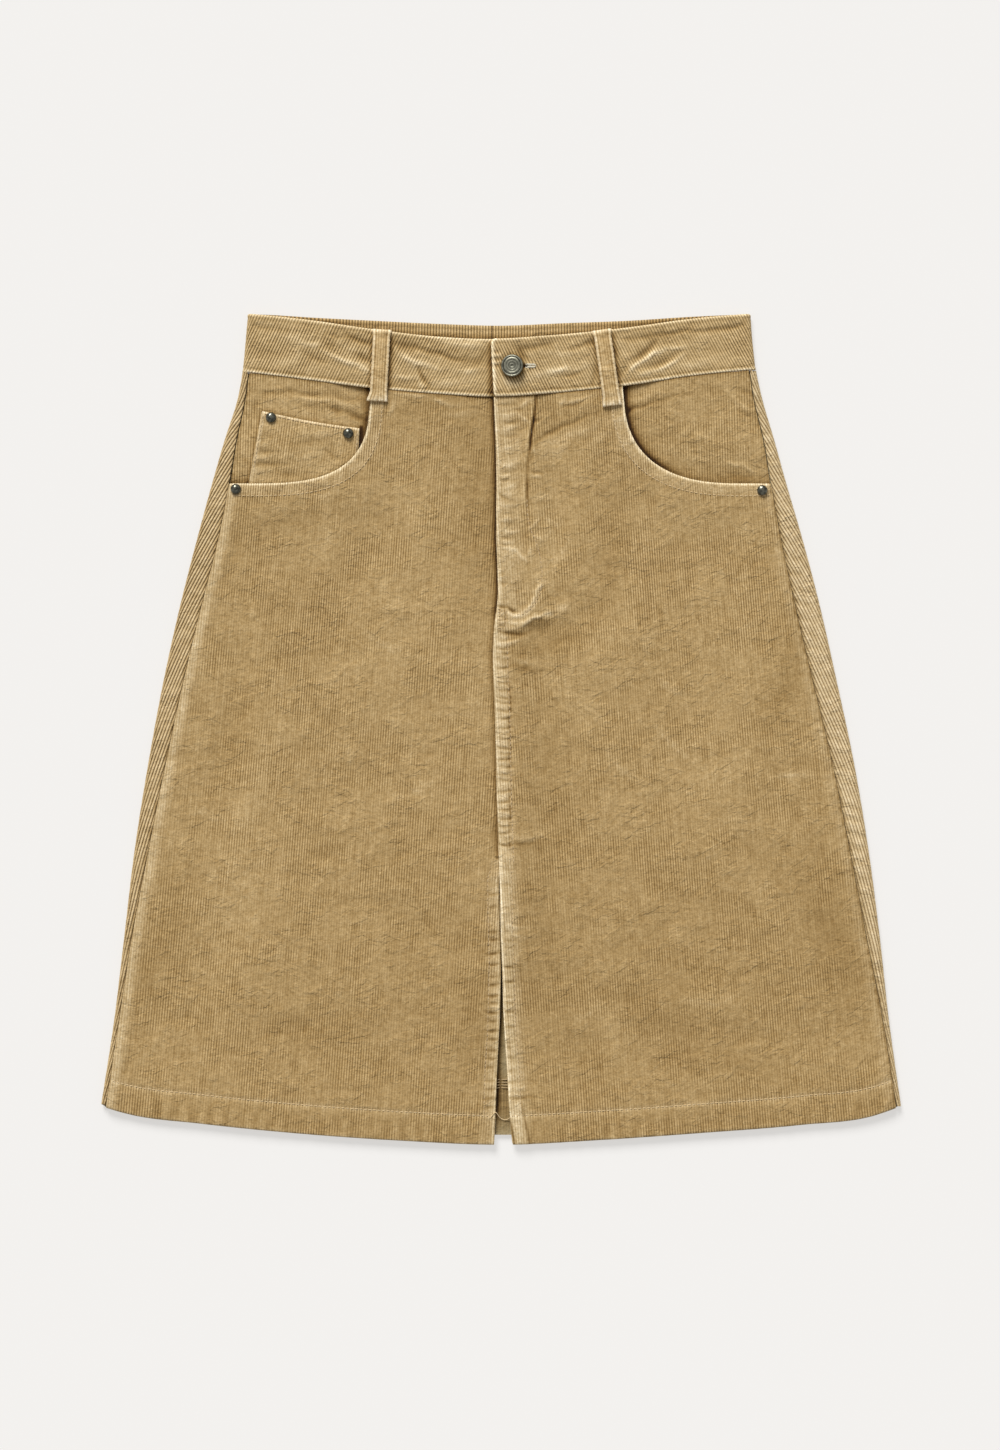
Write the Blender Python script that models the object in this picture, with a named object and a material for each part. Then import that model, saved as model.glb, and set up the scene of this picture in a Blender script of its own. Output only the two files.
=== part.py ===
"""A-line skirt in fine corduroy, laid flat on its back.

Two fronts, one back that wraps round both side folds, a waistband in two halves, two jeans
pockets with a coin pocket, a zip fly closed by a tack button, two front belt loops and four
rivets. Lengths here are in millimetres and are turned into metres where a mesh is made.
X runs across the skirt, +Y towards the waist, +Z up from the surface that the back lies on.
The origin is under the middle of the whole skirt.
"""
import math

import bmesh
import bpy
import numpy as np

MM = 0.001

# ---------------------------------------------------------------- driving sizes
CLOTH = 1.4             # one layer of corduroy
DOUBLE = 2 * CLOTH      # a turned edge, a facing or the waistband
GAP = 0.3               # space left between pieces that are sewn together
HEM_TURN = 21.0         # depth of the turned-up hem
TURN_STEP = 1.6         # length over which a turned layer ends
SLIT_TURN = 8.6         # turned edge beside the centre front slit
SEAM_TURN = 13.0        # felled centre front seam
FLY_FACING = 23.0       # fly facing, out to its curved stitching
FLY_BOTTOM = 83.0       # y of the foot of the fly
SLIT_TOP = -98.0        # y where the two fronts stop overlapping
UNDERLAP = 9.0          # left front carried under the right one
TAB_UNDERLAP = 21.0     # x where the left half of the waistband ends, under the tab
CENTRE_BACK = -6.5      # x of the waistband's seam at the back
TAB_END = (-5.2, -7.4)  # x of the tab's end, at the waist seam and at the top

LIE_HIGH = 4.2          # top of a front where it simply lies on the back
SIDE_HIGH = 5.4         # height of the side folds
HEM_HIGH = 6.2          # the same at the doubled hem
BAND_HIGH = 6.4         # top of the waistband
WAIST_HIGH = 5.9        # top of the fronts along the waist seam
MOUTH_HIGH = 6.7        # top of the fronts along the pocket mouths
FLY_HIGH = 7.65         # top of the right front along its fly and centre seam
UNDER_HIGH = 4.5        # top of the left front where the right one covers it
SLIT_HIGH = 5.2         # top of both fronts beside the slit
TAB_HIGH = 9.3          # top of the tab that carries the buttonhole
BEARER_LOW = 3.2        # top of a pocket bearer under the mouth
BEARER_UNDER = 15.0     # how far a bearer runs on under the front
BEARER_INSET = 0.6      # space left between a bearer and the side seam's line

# Side outline: the folds are the silhouette, and the seams lie on the front face.
LEVELS = (
    # y, left fold, left seam, right seam, right fold
    (299, -182.0, -178.4, 175.6, 179.2),
    (276, -183.9, -180.2, 177.5, 181.1),
    (256, -185.9, -181.5, 179.0, 183.7),
    (237, -189.4, -184.0, 181.9, 187.9),
    (208, -198.6, -190.1, 188.8, 196.4),
    (178, -207.3, -195.2, 193.9, 204.7),
    (136, -218.7, -203.3, 201.5, 216.9),
    (93, -229.7, -214.2, 210.6, 228.2),
    (35, -242.6, -228.1, 224.1, 241.3),
    (-22, -253.2, -240.4, 237.7, 253.4),
    (-87, -263.5, -253.3, 250.8, 264.3),
    (-152, -271.3, -265.7, 263.2, 272.7),
    (-210, -278.3, -274.6, 274.6, 279.1),
    (-271, -287.6, -283.9, 284.0, 287.6),
)
LEVEL_NAMES = ("y", "fold_left", "seam_left", "seam_right", "fold_right")

# Edges that run across, as heights y at a fraction of the half width from fold to fold.
EDGES = (
    # fraction, front hem, back hem, front waist, back waist, front top, back top
    (-1.00, -271.0, -271.0, 256.5, 256.5, 298.4, 298.4),
    (-0.93, -276.8, -275.4, 255.0, 256.0, 297.2, 298.0),
    (-0.75, -283.6, -281.0, 250.8, 254.5, 293.6, 296.0),
    (-0.50, -290.8, -286.0, 244.9, 252.2, 287.1, 293.7),
    (-0.25, -295.8, -289.6, 240.9, 250.0, 281.9, 291.5),
    (0.00, -298.7, -291.8, 238.8, 248.7, 280.3, 290.2),
    (0.25, -295.3, -289.5, 242.2, 250.5, 283.7, 292.0),
    (0.50, -290.3, -285.8, 247.1, 252.2, 288.4, 293.7),
    (0.75, -284.5, -281.2, 253.9, 255.4, 294.6, 296.5),
    (0.93, -278.0, -276.4, 257.3, 257.6, 297.6, 298.0),
    (1.00, -271.0, -271.0, 258.3, 258.3, 298.5, 298.5),
)
EDGE_NAMES = ("fraction", "hem", "back_hem", "waist", "back_waist", "top", "back_top")
HALF_WIDTH = {"hem": 287.6, "waist": 184.9, "top": 180.8}

# Edge of the right front at the centre, and the opening between the fronts beside it.
CENTRE_FRONT = (
    # y, x of the right front's edge, space left to the left front's edge
    (239, -5.4, -UNDERLAP),
    (199, -3.6, -UNDERLAP),
    (134, -3.4, -UNDERLAP),
    (94, -2.4, -UNDERLAP),
    (72, -5.0, -UNDERLAP),
    (0, -4.0, -UNDERLAP),
    (-79, -2.1, -UNDERLAP),
    (-97, -1.4, -4.0),
    (-108, -1.0, 0.4),
    (-160, 0.3, 0.7),
    (-183, 1.2, 1.6),
    (-216, 2.0, 2.8),
    (-247, 4.6, 7.6),
    (-276, 5.9, 9.4),
    (-299, 8.2, 13.0),
)

# Pocket mouths: a quarter of a squared ellipse from the waist seam to the flat bottom.
POCKETS = {
    # side: x of the curve's centre, half width, exponent
    -1: (-180.4, 86.4, 3.0),
    1: (173.9, 85.7, 2.6),
}
MOUTH_BOTTOM = 176.4    # y of the mouth's flat bottom
MOUTH_CORNER = 177.6    # y where the mouth meets the side seam

# Largest soft folds of the fronts, as ridges, or troughs where the height is negative.
FOLDS = (
    # x, y, heading from +X in degrees, half length, half width, height
    (20, 93, 38, 26, 7, 1.1),
    (46, 72, 28, 34, 9, -0.9),
    (82, 58, 48, 42, 16, 0.7),
    (78, 150, 88, 60, 14, -0.7),
    (58, 150, 84, 60, 11, 0.6),
    (120, 20, 110, 70, 20, -0.6),
    (160, -50, 60, 60, 24, 0.7),
    (226, -80, 105, 80, 16, -0.8),
    (150, -196, 172, 30, 12, 0.8),
    (70, -150, 112, 70, 18, 0.7),
    (60, -236, 100, 40, 14, -0.6),
    (-60, 150, 78, 66, 20, 0.7),
    (-100, 120, 60, 50, 16, -0.6),
    (-190, 20, 80, 80, 12, -0.8),
    (-176, -30, 82, 90, 13, 0.8),
    (-110, -40, 20, 70, 16, -0.5),
    (-90, 30, 35, 70, 18, 0.6),
    (-206, -150, 72, 60, 18, -0.7),
    (-176, -170, 70, 60, 18, 0.7),
    (-100, -190, 110, 50, 16, 0.6),
    (-66, -140, 150, 50, 14, -0.6),
    (-40, -226, 55, 40, 16, 0.6),
)

BELT_LOOPS = {
    # name: (x, y) of the top end, (x, y) of the bottom end
    "belt_loop_left": ((-85.4, 286.9), (-88.2, 235.2)),
    "belt_loop_right": ((72.3, 286.7), (80.2, 231.9)),
}
LOOP_WIDE = 12.2
LOOP_THICK = 1.8
LOOP_LOW = 7.05         # underside of a loop where it is sewn down
LOOP_ARCH = 1.3         # extra height halfway

BUTTON_AT = (8.0, 260.4)
BUTTON_RADIUS = 8.0
BUTTON_TILT = 9.0       # degrees, right edge up
HOLE_END = 21.0         # x of the far end of the buttonhole
RIVET_RADIUS = 3.75
RIVETS = {
    # name: x, y, piece that carries it
    "rivet_coin_outer": (-165.1, 223.6, "coin_pocket"),
    "rivet_coin_inner": (-109.7, 212.4, "coin_pocket"),
    "rivet_pocket_left": (-190.4, 172.3, "front_left"),
    "rivet_pocket_right": (187.6, 171.4, "front_right"),
}
COIN_POCKET = {"top": ((-171.7, 228.4), (-101.5, 216.1)), "foot": (-181.4, -103.7)}
ZIP = {"left": -11.0, "right": 17.0, "low": 92.0, "high": 233.0, "teeth": (8.0, 12.0)}


# ---------------------------------------------------------------- curves and heights
def ease(value):
    """0 to 1 with soft ends, for a value that goes from 0 to 1."""
    value = np.clip(value, 0.0, 1.0)
    return value * value * (3.0 - 2.0 * value)


def blend(first, second, share):
    return first + (second - first) * share


def through(knots, values, at):
    """Smooth curve through the values given at rising knots."""
    slopes = np.gradient(values, knots)
    cell = np.clip(np.searchsorted(knots, at) - 1, 0, len(knots) - 2)
    step = knots[cell + 1] - knots[cell]
    t = np.clip((at - knots[cell]) / step, 0.0, 1.0)
    start = (2 * t**3 - 3 * t**2 + 1) * values[cell] + (t**3 - 2 * t**2 + t) * step * slopes[cell]
    end = (3 * t**2 - 2 * t**3) * values[cell + 1] + (t**3 - t**2) * step * slopes[cell + 1]
    return start + end


def column(table, names, name):
    return np.array([row[names.index(name)] for row in table], float)


def level(name, y):
    """x of a fold or a side seam at height y."""
    knots = column(LEVELS, LEVEL_NAMES, "y")[::-1]
    return through(knots, column(LEVELS, LEVEL_NAMES, name)[::-1], np.asarray(y, float))


def edge(name, x):
    """y of a hem, waist seam or top edge at x."""
    half = HALF_WIDTH[name.replace("back_", "")]
    knots = column(EDGES, EDGE_NAMES, "fraction")
    return through(knots, column(EDGES, EDGE_NAMES, name), np.asarray(x, float) / half)


def side_name(side):
    return "left" if side < 0 else "right"


def centre_edge(side, y):
    """x of a front's centre edge; the left front runs under the right one down to the slit."""
    table = np.array(CENTRE_FRONT, float)[::-1]
    right = through(table[:, 0], table[:, 1], np.asarray(y, float))
    if side > 0:
        return right
    return right - np.interp(y, table[:, 0], table[:, 2])


def mouth_shape(side, grow=0.0):
    """Centre, half sizes and exponent of a pocket mouth, let out by grow."""
    centre_x, half_x, power = POCKETS[side]
    top = float(edge("waist", centre_x - side * half_x)) - GAP
    return centre_x, top, half_x + grow, top - MOUTH_BOTTOM + grow, power


def mouth_distance(side, x, y):
    """About how far a point lies outside the pocket mouth; inside it is negative."""
    centre_x, top, half_x, half_y, power = mouth_shape(side)
    u = np.maximum((centre_x - x) * side / half_x, 0.0)
    v = np.maximum((top - y) / half_y, 0.0)
    return ((u**power + v**power) ** (1.0 / power) - 1.0) * half_y


def fold_high(y):
    """Height of the side folds, thicker at the hem and rising to the waistband."""
    hem = 1.0 - ease((y - HALF_HEM_Y) / 50.0)
    waist = 1.0 - ease((256.0 - y) / 40.0)
    return SIDE_HIGH + (HEM_HIGH - SIDE_HIGH) * hem + (BAND_HIGH - SIDE_HIGH) * waist


HALF_HEM_Y = -271.0 + HEM_TURN + 3.0


def folds(x, y):
    total = np.zeros(np.shape(x))
    for at_x, at_y, heading, half_length, half_width, height in FOLDS:
        turn = math.radians(heading)
        along = (x - at_x) * math.cos(turn) + (y - at_y) * math.sin(turn)
        aside = (y - at_y) * math.cos(turn) - (x - at_x) * math.sin(turn)
        bow = aside - 0.12 * along**2 / half_length
        total = total + height * np.exp(-((along / half_length) ** 2) - (bow / half_width) ** 2)
    return total


def front_high(side, x, y):
    """Height of a front's outer face."""
    from_hem = y - edge("hem", x)
    from_waist = edge("waist", x) - y
    from_seam = np.abs(level("seam_" + side_name(side), y) - x)
    from_mouth = mouth_distance(side, x, y)
    from_centre = (x - centre_edge(side, y)) * side
    lie = blend(HEM_HIGH - 0.2, LIE_HIGH, ease((from_hem - HEM_TURN - 1.5) / 50.0))
    lie = blend(WAIST_HIGH, lie, ease(from_waist / 40.0))
    quiet = ease(from_hem / 45.0) * ease(from_waist / 30.0) * ease((from_seam - 4.0) / 26.0)
    quiet = quiet * ease((from_mouth - 12.0) / 20.0)
    lie = blend(fold_high(y), lie, ease(from_seam / 36.0))
    raised = np.exp(-((np.maximum(from_mouth - 6.0, 0.0) / 22.0) ** 2)) * ease(from_seam / 14.0)
    lie = blend(lie, MOUTH_HIGH, raised)
    above_slit = ease((y - SLIT_TOP + 104.0) / 80.0)
    above_hem = ease((from_hem - HEM_TURN) / 60.0)
    beside_slit = blend(lie, SLIT_HIGH, above_hem)
    if side > 0:
        facing = blend(SEAM_TURN, FLY_FACING, ease((y - FLY_BOTTOM + 14.0) / 12.0))
        centre = blend(beside_slit, FLY_HIGH, above_slit)
        away = ease((from_centre - facing) / 22.0)
    else:
        covered = ease((y - SLIT_TOP + 90.0) / 60.0)
        centre = blend(beside_slit, UNDER_HIGH, covered)
        away = ease((from_centre - UNDERLAP - 4.0) / 30.0)
    quiet = quiet * away
    return blend(centre, lie, away) + folds(x, y) * quiet


def front_thick(side, x, y):
    """Cloth of a front, doubled at the hem, the slit and the fly."""
    from_hem = y - edge("hem", x)
    from_centre = (x - centre_edge(side, y)) * side
    hem = 1.0 - ease((from_hem - HEM_TURN) / TURN_STEP)
    if side > 0:
        turned = blend(SLIT_TURN, SEAM_TURN, ease((y - SLIT_TOP) / 10.0))
        turned = blend(turned, FLY_FACING, ease((y - FLY_BOTTOM + 14.0) / 6.0))
        centre = 1.0 - ease((from_centre - turned) / TURN_STEP)
    else:
        centre = 1.0 - ease((from_centre - SLIT_TURN) / TURN_STEP)
        centre = centre * (1.0 - ease((y - SLIT_TOP + 70.0) / 40.0))
    return CLOTH + (DOUBLE - CLOTH) * np.maximum(hem, centre)


def bearer_high(side, x, y):
    """Height of a pocket bearer: low under the mouth, level with its seams elsewhere."""
    inside = -mouth_distance(side, x, y)
    return blend(BEARER_LOW, fold_high(y) - 0.2, ease((inside - 3.0) / 26.0))


def coin_high(x, y):
    """Height of the coin pocket, which follows the bearer below it."""
    return bearer_high(-1, x, y) + GAP + CLOTH


def carrier_high(carrier, x, y, radius):
    """Highest point of the cloth under a round piece."""
    turn = np.linspace(0.0, 2.0 * math.pi, 25)
    ring_x = x + radius * np.cos(turn)
    ring_y = y + radius * np.sin(turn)
    if carrier == "coin_pocket":
        return float(coin_high(ring_x, ring_y).max())
    return float(front_high(-1 if carrier == "front_left" else 1, ring_x, ring_y).max())


# ---------------------------------------------------------------- meshes
def paint(name, colour, roughness, metallic=0.0):
    material = bpy.data.materials.new(name)
    material.use_nodes = True
    shader = material.node_tree.nodes["Principled BSDF"]
    shader.inputs["Base Color"].default_value = (*colour, 1.0)
    shader.inputs["Roughness"].default_value = roughness
    shader.inputs["Metallic"].default_value = metallic
    material.diffuse_color = (*colour, 1.0)
    return material


def place(name, mesh, material):
    """Turn a bmesh in millimetres into a named object in metres."""
    bmesh.ops.recalc_face_normals(mesh, faces=mesh.faces)
    bmesh.ops.scale(mesh, vec=(MM, MM, MM), verts=mesh.verts)
    data = bpy.data.meshes.new(name)
    mesh.to_mesh(data)
    mesh.free()
    data.materials.append(material)
    data.shade_smooth()
    data.set_sharp_from_angle(angle=math.radians(40.0))
    piece = bpy.data.objects.new(name, data)
    bpy.context.scene.collection.objects.link(piece)
    return piece


def wall(name, outer, inner, material):
    """A closed sheet between two grids of points with the same rows and columns."""
    rows, columns = outer.shape[:2]
    mesh = bmesh.new()
    skins = []
    for grid in (outer, inner):
        skins.append([[mesh.verts.new(point) for point in row] for row in grid.tolist()])
    for skin in skins:
        for i in range(rows - 1):
            for j in range(columns - 1):
                mesh.faces.new((skin[i][j], skin[i][j + 1], skin[i + 1][j + 1], skin[i + 1][j]))
    rim = [(0, j) for j in range(columns)] + [(i, columns - 1) for i in range(1, rows)]
    rim += [(rows - 1, j) for j in range(columns - 2, -1, -1)] + [(i, 0) for i in range(rows - 2, 0, -1)]
    for (i, j), (k, m) in zip(rim, rim[1:] + rim[:1]):
        mesh.faces.new((skins[0][i][j], skins[0][k][m], skins[1][k][m], skins[1][i][j]))
    return place(name, mesh, material)


def stack(x, y, z):
    return np.stack(np.broadcast_arrays(x, y, z), axis=-1)


def evenly(points, count):
    """Points at equal steps along a polyline, its start left out."""
    steps = np.linalg.norm(np.diff(points, axis=0), axis=1)
    run = np.concatenate(([0.0], np.cumsum(steps)))
    at = np.linspace(0.0, run[-1], count + 1)[1:]
    return np.stack([np.interp(at, run, points[:, k]) for k in range(2)], axis=-1)


def rows_of(length, turned, count):
    """Shares of a column's length: two rows in the turned hem, then even ones."""
    fixed = np.array([0.0, turned / 2.0, turned, turned + TURN_STEP]) / length
    return np.concatenate((fixed, np.linspace(fixed[-1], 1.0, count + 1)[1:]))


# ---------------------------------------------------------------- cloth pieces
def front_outline(side):
    """Top and bottom ends of each column of a front, from the centre to the side seam."""
    near = np.array([0.0, 4.3, SLIT_TURN, SLIT_TURN + TURN_STEP, SEAM_TURN, SEAM_TURN + TURN_STEP,
                     18.8, FLY_FACING, FLY_FACING + TURN_STEP])
    waist_x = centre_edge(side, 239.0) + side * near
    top = stack(waist_x, edge("waist", waist_x) - GAP, 0.0)[:, :2]
    centre_x, centre_y, half_x, half_y, power = mouth_shape(side)
    corner_x = centre_x - side * half_x
    along = np.linspace(waist_x[-1], corner_x, 40)
    seat = evenly(stack(along, edge("waist", along) - GAP, 0.0)[:, :2], 4)
    angle = np.linspace(0.0, math.pi / 2.0, 60)
    mouth_x = centre_x - side * half_x * np.cos(angle) ** (2.0 / power)
    mouth_y = centre_y - half_y * np.sin(angle) ** (2.0 / power)
    mouth = evenly(stack(mouth_x, mouth_y, 0.0)[:, :2], 9)
    corner = [[float(level("seam_" + side_name(side), MOUTH_CORNER)) - side * GAP / 2.0, MOUTH_CORNER]]
    top = np.concatenate((top, seat, mouth, corner))
    hem_centre = float(centre_edge(side, -298.0))
    hem_side = float(level("seam_" + side_name(side), -271.0)) - side * GAP / 2.0
    far = np.linspace(hem_centre + side * near[-1], hem_side, len(top) - len(near) + 1)[1:]
    hem_x = np.concatenate((hem_centre + side * near, far))
    bottom = stack(hem_x, edge("hem", hem_x), 0.0)[:, :2]
    return top, bottom


def front(side, material):
    top, bottom = front_outline(side)
    weight = (np.linspace(1.0, 0.0, len(top))) ** 0.8
    weight[:9] = 1.0
    columns = []
    for head, foot, centre_share in zip(top, bottom, weight):
        share = rows_of(head[1] - foot[1], HEM_TURN, 24)
        x = blend(foot[0], head[0], share)
        y = blend(foot[1], head[1], share)
        centre_y = blend(bottom[0, 1], top[0, 1], share)
        seam_y = blend(bottom[-1, 1], top[-1, 1], share)
        bend_centre = centre_edge(side, centre_y) - blend(bottom[0, 0], top[0, 0], share)
        seam_x = level("seam_" + side_name(side), seam_y) - side * GAP / 2.0
        bend_seam = seam_x - blend(bottom[-1, 0], top[-1, 0], share)
        ends = np.minimum(share, 1.0 - share) * 40.0
        keep = np.clip(ends, 0.0, 1.0)
        x = x + keep * (centre_share * bend_centre + (1.0 - centre_share) * bend_seam)
        columns.append(stack(x, y, 0.0)[:, :2])
    flat = np.stack(columns, axis=1)
    x, y = flat[..., 0], flat[..., 1]
    high = front_high(side, x, y)
    outer = stack(x, y, high)
    inner = stack(x, y, high - front_thick(side, x, y))
    return wall("front_" + side_name(side), outer, inner, material)


def wrapped_row(y_side, y_under, ends, high, thick, under_x, strip_steps):
    """One section that wraps round a fold: strip on top, fold, underside.

    ends are x of the top edge and of the fold; under_x runs from the fold to the middle.
    """
    edge_x, fold_x = ends
    inward = 1.0 if fold_x < 0 else -1.0
    radius = high / 2.0
    centre = fold_x + inward * radius
    outer, inner = [], []
    for step in range(strip_steps):
        x = blend(edge_x, centre, step / strip_steps)
        outer.append((x, y_side, high))
        inner.append((x, y_side, high - thick))
    for step in range(FOLD_STEPS + 1):
        turn = math.pi * step / FOLD_STEPS
        for points, reach in ((outer, radius), (inner, radius - thick)):
            points.append((centre - inward * reach * math.sin(turn), y_side,
                           radius + reach * math.cos(turn)))
    for x, y in zip(under_x, y_under):
        outer.append((x, y, 0.0))
        inner.append((x, y, thick))
    return outer, inner


FOLD_STEPS = 6


def back(material):
    """The back: a strip on each side of the front face, both side folds and the underside."""
    under_share = np.linspace(-1.0, 1.0, 19)
    low = -271.0
    high_left = float(edge("waist", -185.0)) - GAP
    high_right = float(edge("waist", 184.0)) - GAP
    shares = rows_of(high_left - low, HEM_TURN, 24)
    outer, inner = [], []
    for share in shares:
        y_left = blend(low, high_left, share)
        y_right = blend(low, high_right, share)
        thick = DOUBLE if share * (high_left - low) < HEM_TURN + 0.5 else CLOTH
        lift_left = float(fold_high(y_left))
        lift_right = float(fold_high(y_right))
        fold_left = float(level("fold_left", y_left))
        fold_right = float(level("fold_right", y_right))
        start = fold_left + lift_left / 2.0
        end = fold_right - lift_right / 2.0
        x = blend(start, end, (under_share + 1.0) / 2.0)
        y = blend(edge("back_hem", under_share * HALF_WIDTH["hem"]),
                  edge("back_waist", under_share * HALF_WIDTH["waist"]) - GAP, share)
        seam_left = float(level("seam_left", y_left)) - GAP / 2.0
        seam_right = float(level("seam_right", y_right)) + GAP / 2.0
        first = wrapped_row(y_left, y[1:9], (seam_left, fold_left), lift_left, thick, x[1:9], 2)
        last = wrapped_row(y_right, y[17:8:-1], (seam_right, fold_right), lift_right, thick,
                           x[17:8:-1], 2)
        outer.append(first[0] + last[0][::-1])
        inner.append(first[1] + last[1][::-1])
    return wall("back", np.array(outer), np.array(inner), material)


def band_high(side, x):
    """Height of the waistband's outer face on the front."""
    if side < 0:
        return blend(BAND_HIGH - 0.2, BAND_HIGH, ease((-x - 12.0) / 30.0))
    return blend(TAB_HIGH, BAND_HIGH, ease((x - TAB_UNDERLAP - 1.0) / 22.0))


def waistband(side, material):
    """Half of the waistband, from the seam at the centre back round to the centre front."""
    outer, inner = [], []
    for share in (0.0, 0.34, 0.67, 1.0):
        far = 184.5 * side
        y_side = blend(float(edge("waist", far)), float(edge("top", far)), share)
        fold_x = float(level("fold_" + side_name(side), y_side))
        radius = BAND_HIGH / 2.0
        start = fold_x - side * radius
        end = TAB_UNDERLAP if side < 0 else blend(TAB_END[0], TAB_END[1], share)
        front_x = blend(end, start, 1.0 - (1.0 - np.linspace(0.0, 1.0, 17)) ** 1.25)[:-1]
        high = band_high(side, front_x)
        half = blend(HALF_WIDTH["waist"], HALF_WIDTH["top"], share)
        place_x = front_x / half
        y_front = blend(edge("waist", place_x * HALF_WIDTH["waist"]),
                        edge("top", place_x * HALF_WIDTH["top"]), share)
        back_x = blend(start, CENTRE_BACK + side * GAP / 2.0, np.linspace(0.0, 1.0, 11))[1:]
        place_x = back_x / half
        y_back = blend(edge("back_waist", place_x * HALF_WIDTH["waist"]),
                       edge("back_top", place_x * HALF_WIDTH["top"]), share)
        wrap = wrapped_row(y_side, y_back, (start, fold_x), BAND_HIGH, DOUBLE, back_x, 0)
        outer.append(stack(front_x, y_front, high).tolist() + [list(p) for p in wrap[0]])
        inner.append(stack(front_x, y_front, high - DOUBLE).tolist() + [list(p) for p in wrap[1]])
    return wall("waistband_" + side_name(side), np.array(outer), np.array(inner), material)


def bearer(side, material):
    """The hip piece that shows in a pocket mouth and runs on under the front."""
    centre_x, centre_y, half_x, half_y, power = mouth_shape(side, BEARER_UNDER)
    low_y = centre_y - half_y
    side_y = float(edge("waist", 184.0 * side)) - GAP
    rows = []
    for turn in np.linspace(0.0, math.pi / 2.0, 11):
        inner_x = centre_x - side * half_x * max(math.cos(turn), 0.0) ** (2.0 / power)
        down = math.sin(turn) ** (2.0 / power)
        seam_y = blend(side_y, low_y, down)
        seam_x = float(level("seam_" + side_name(side), seam_y)) - side * BEARER_INSET
        x = blend(inner_x, seam_x, np.linspace(0.0, 1.0, 13))
        y = blend(edge("waist", x) - GAP, low_y, down)
        rows.append(stack(x, y, 0.0)[:, :2])
    flat = np.array(rows)
    x, y = flat[..., 0], flat[..., 1]
    high = bearer_high(side, x, y)
    return wall("pocket_bearer_" + side_name(side), stack(x, y, high), stack(x, y, high - CLOTH), material)


def coin_pocket(material):
    """Small patch on the left bearer, its foot caught under the front."""
    reach = np.linspace(0.0, 1.0, 9)
    (left_x, left_y), (right_x, right_y) = COIN_POCKET["top"]
    foot_x = blend(COIN_POCKET["foot"][0], COIN_POCKET["foot"][1], reach)
    centre_x, centre_y, half_x, half_y, power = mouth_shape(-1, 5.0)
    u = np.clip((foot_x - centre_x) / half_x, 0.0, 1.0)
    foot_y = centre_y - half_y * (1.0 - u**power) ** (1.0 / power)
    rows = []
    for share in np.linspace(0.0, 1.0, 7):
        x = blend(blend(left_x, right_x, reach), foot_x, share)
        y = blend(blend(left_y, right_y, reach), foot_y, share)
        high = coin_high(x, y)
        rows.append((stack(x, y, high), stack(x, y, high - CLOTH)))
    return wall("coin_pocket", np.array([row[0] for row in rows]), np.array([row[1] for row in rows]),
                material)


def belt_loop(name, ends, material):
    """A folded strap sewn down at both ends and arched between them."""
    (top_x, top_y), (low_x, low_y) = ends
    length = math.hypot(top_x - low_x, top_y - low_y)
    across = ((top_y - low_y) / length, (low_x - top_x) / length)
    outer, inner = [], []
    for share in (0.0, 0.05, 0.14, 0.26, 0.4, 0.55, 0.7, 0.8, 0.88, 1.0):
        x, y = blend(top_x, low_x, share), blend(top_y, low_y, share)
        arch = float(ease(share / 0.2) * ease((1.0 - share) / 0.24))
        low = LOOP_LOW + LOOP_ARCH * arch - 0.3 * (1.0 - float(ease(share / 0.6)))
        row = [(x + across[0] * side * LOOP_WIDE / 2.0, y + across[1] * side * LOOP_WIDE / 2.0)
               for side in (-1.0, -0.5, 0.0, 0.5, 1.0)]
        crown = (0.0, 0.25, 0.3, 0.25, 0.0)
        outer.append([(px, py, low + LOOP_THICK - 0.3 + rise) for (px, py), rise in zip(row, crown)])
        inner.append([(px, py, low) for px, py in row])
    return wall(name, np.array(outer), np.array(inner), material)


# ---------------------------------------------------------------- fastenings
def turned(name, profile, centre, material, steps=20, tilt=0.0):
    """A piece turned round Z from (radius, height) points, then tilted about Y."""
    mesh = bmesh.new()
    rings = []
    for radius, height in profile:
        if radius == 0.0:
            rings.append([mesh.verts.new((0.0, 0.0, height))])
            continue
        rings.append([mesh.verts.new((radius * math.cos(2 * math.pi * k / steps),
                                      radius * math.sin(2 * math.pi * k / steps), height))
                      for k in range(steps)])
    for low, high in zip(rings, rings[1:]):
        for k in range(steps):
            corners = [low[k % len(low)], low[(k + 1) % len(low)],
                       high[(k + 1) % len(high)], high[k % len(high)]]
            mesh.faces.new(list(dict.fromkeys(corners)))
    lean = -math.radians(tilt)
    for vert in mesh.verts:
        x, z = vert.co.x, vert.co.z
        if z > 3.0 or tilt == 0.0:
            vert.co.x = x * math.cos(lean) + (z - 3.0) * math.sin(lean)
            vert.co.z = (z - 3.0) * math.cos(lean) - x * math.sin(lean) + 3.0
        vert.co.x += centre[0]
        vert.co.y += centre[1]
        vert.co.z += centre[2]
    return place(name, mesh, material)


def buttonhole(band):
    """Cut the keyhole buttonhole through the tab, round the button's shank."""
    x, y = BUTTON_AT
    eye, slot = 2.7, 0.9
    outline = []
    for step in range(9):
        turn = math.radians(20.0 + 40.0 * step)
        outline.append((x + eye * math.cos(turn), y + eye * math.sin(turn)))
    outline += [(HOLE_END, y - slot), (HOLE_END, y + slot)]
    mesh = bmesh.new()
    floor = mesh.faces.new([mesh.verts.new((px, py, BAND_HIGH - 0.1)) for px, py in outline])
    grown = bmesh.ops.extrude_face_region(mesh, geom=[floor])
    for item in grown["geom"]:
        if isinstance(item, bmesh.types.BMVert):
            item.co.z = TAB_HIGH + 1.0
    cutter = place("buttonhole_cutter", mesh, band.data.materials[0])
    cutter.hide_render = True
    cutter.display_type = "WIRE"
    cut = band.modifiers.new("buttonhole", "BOOLEAN")
    cut.object = cutter
    cut.solver = "EXACT"


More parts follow.
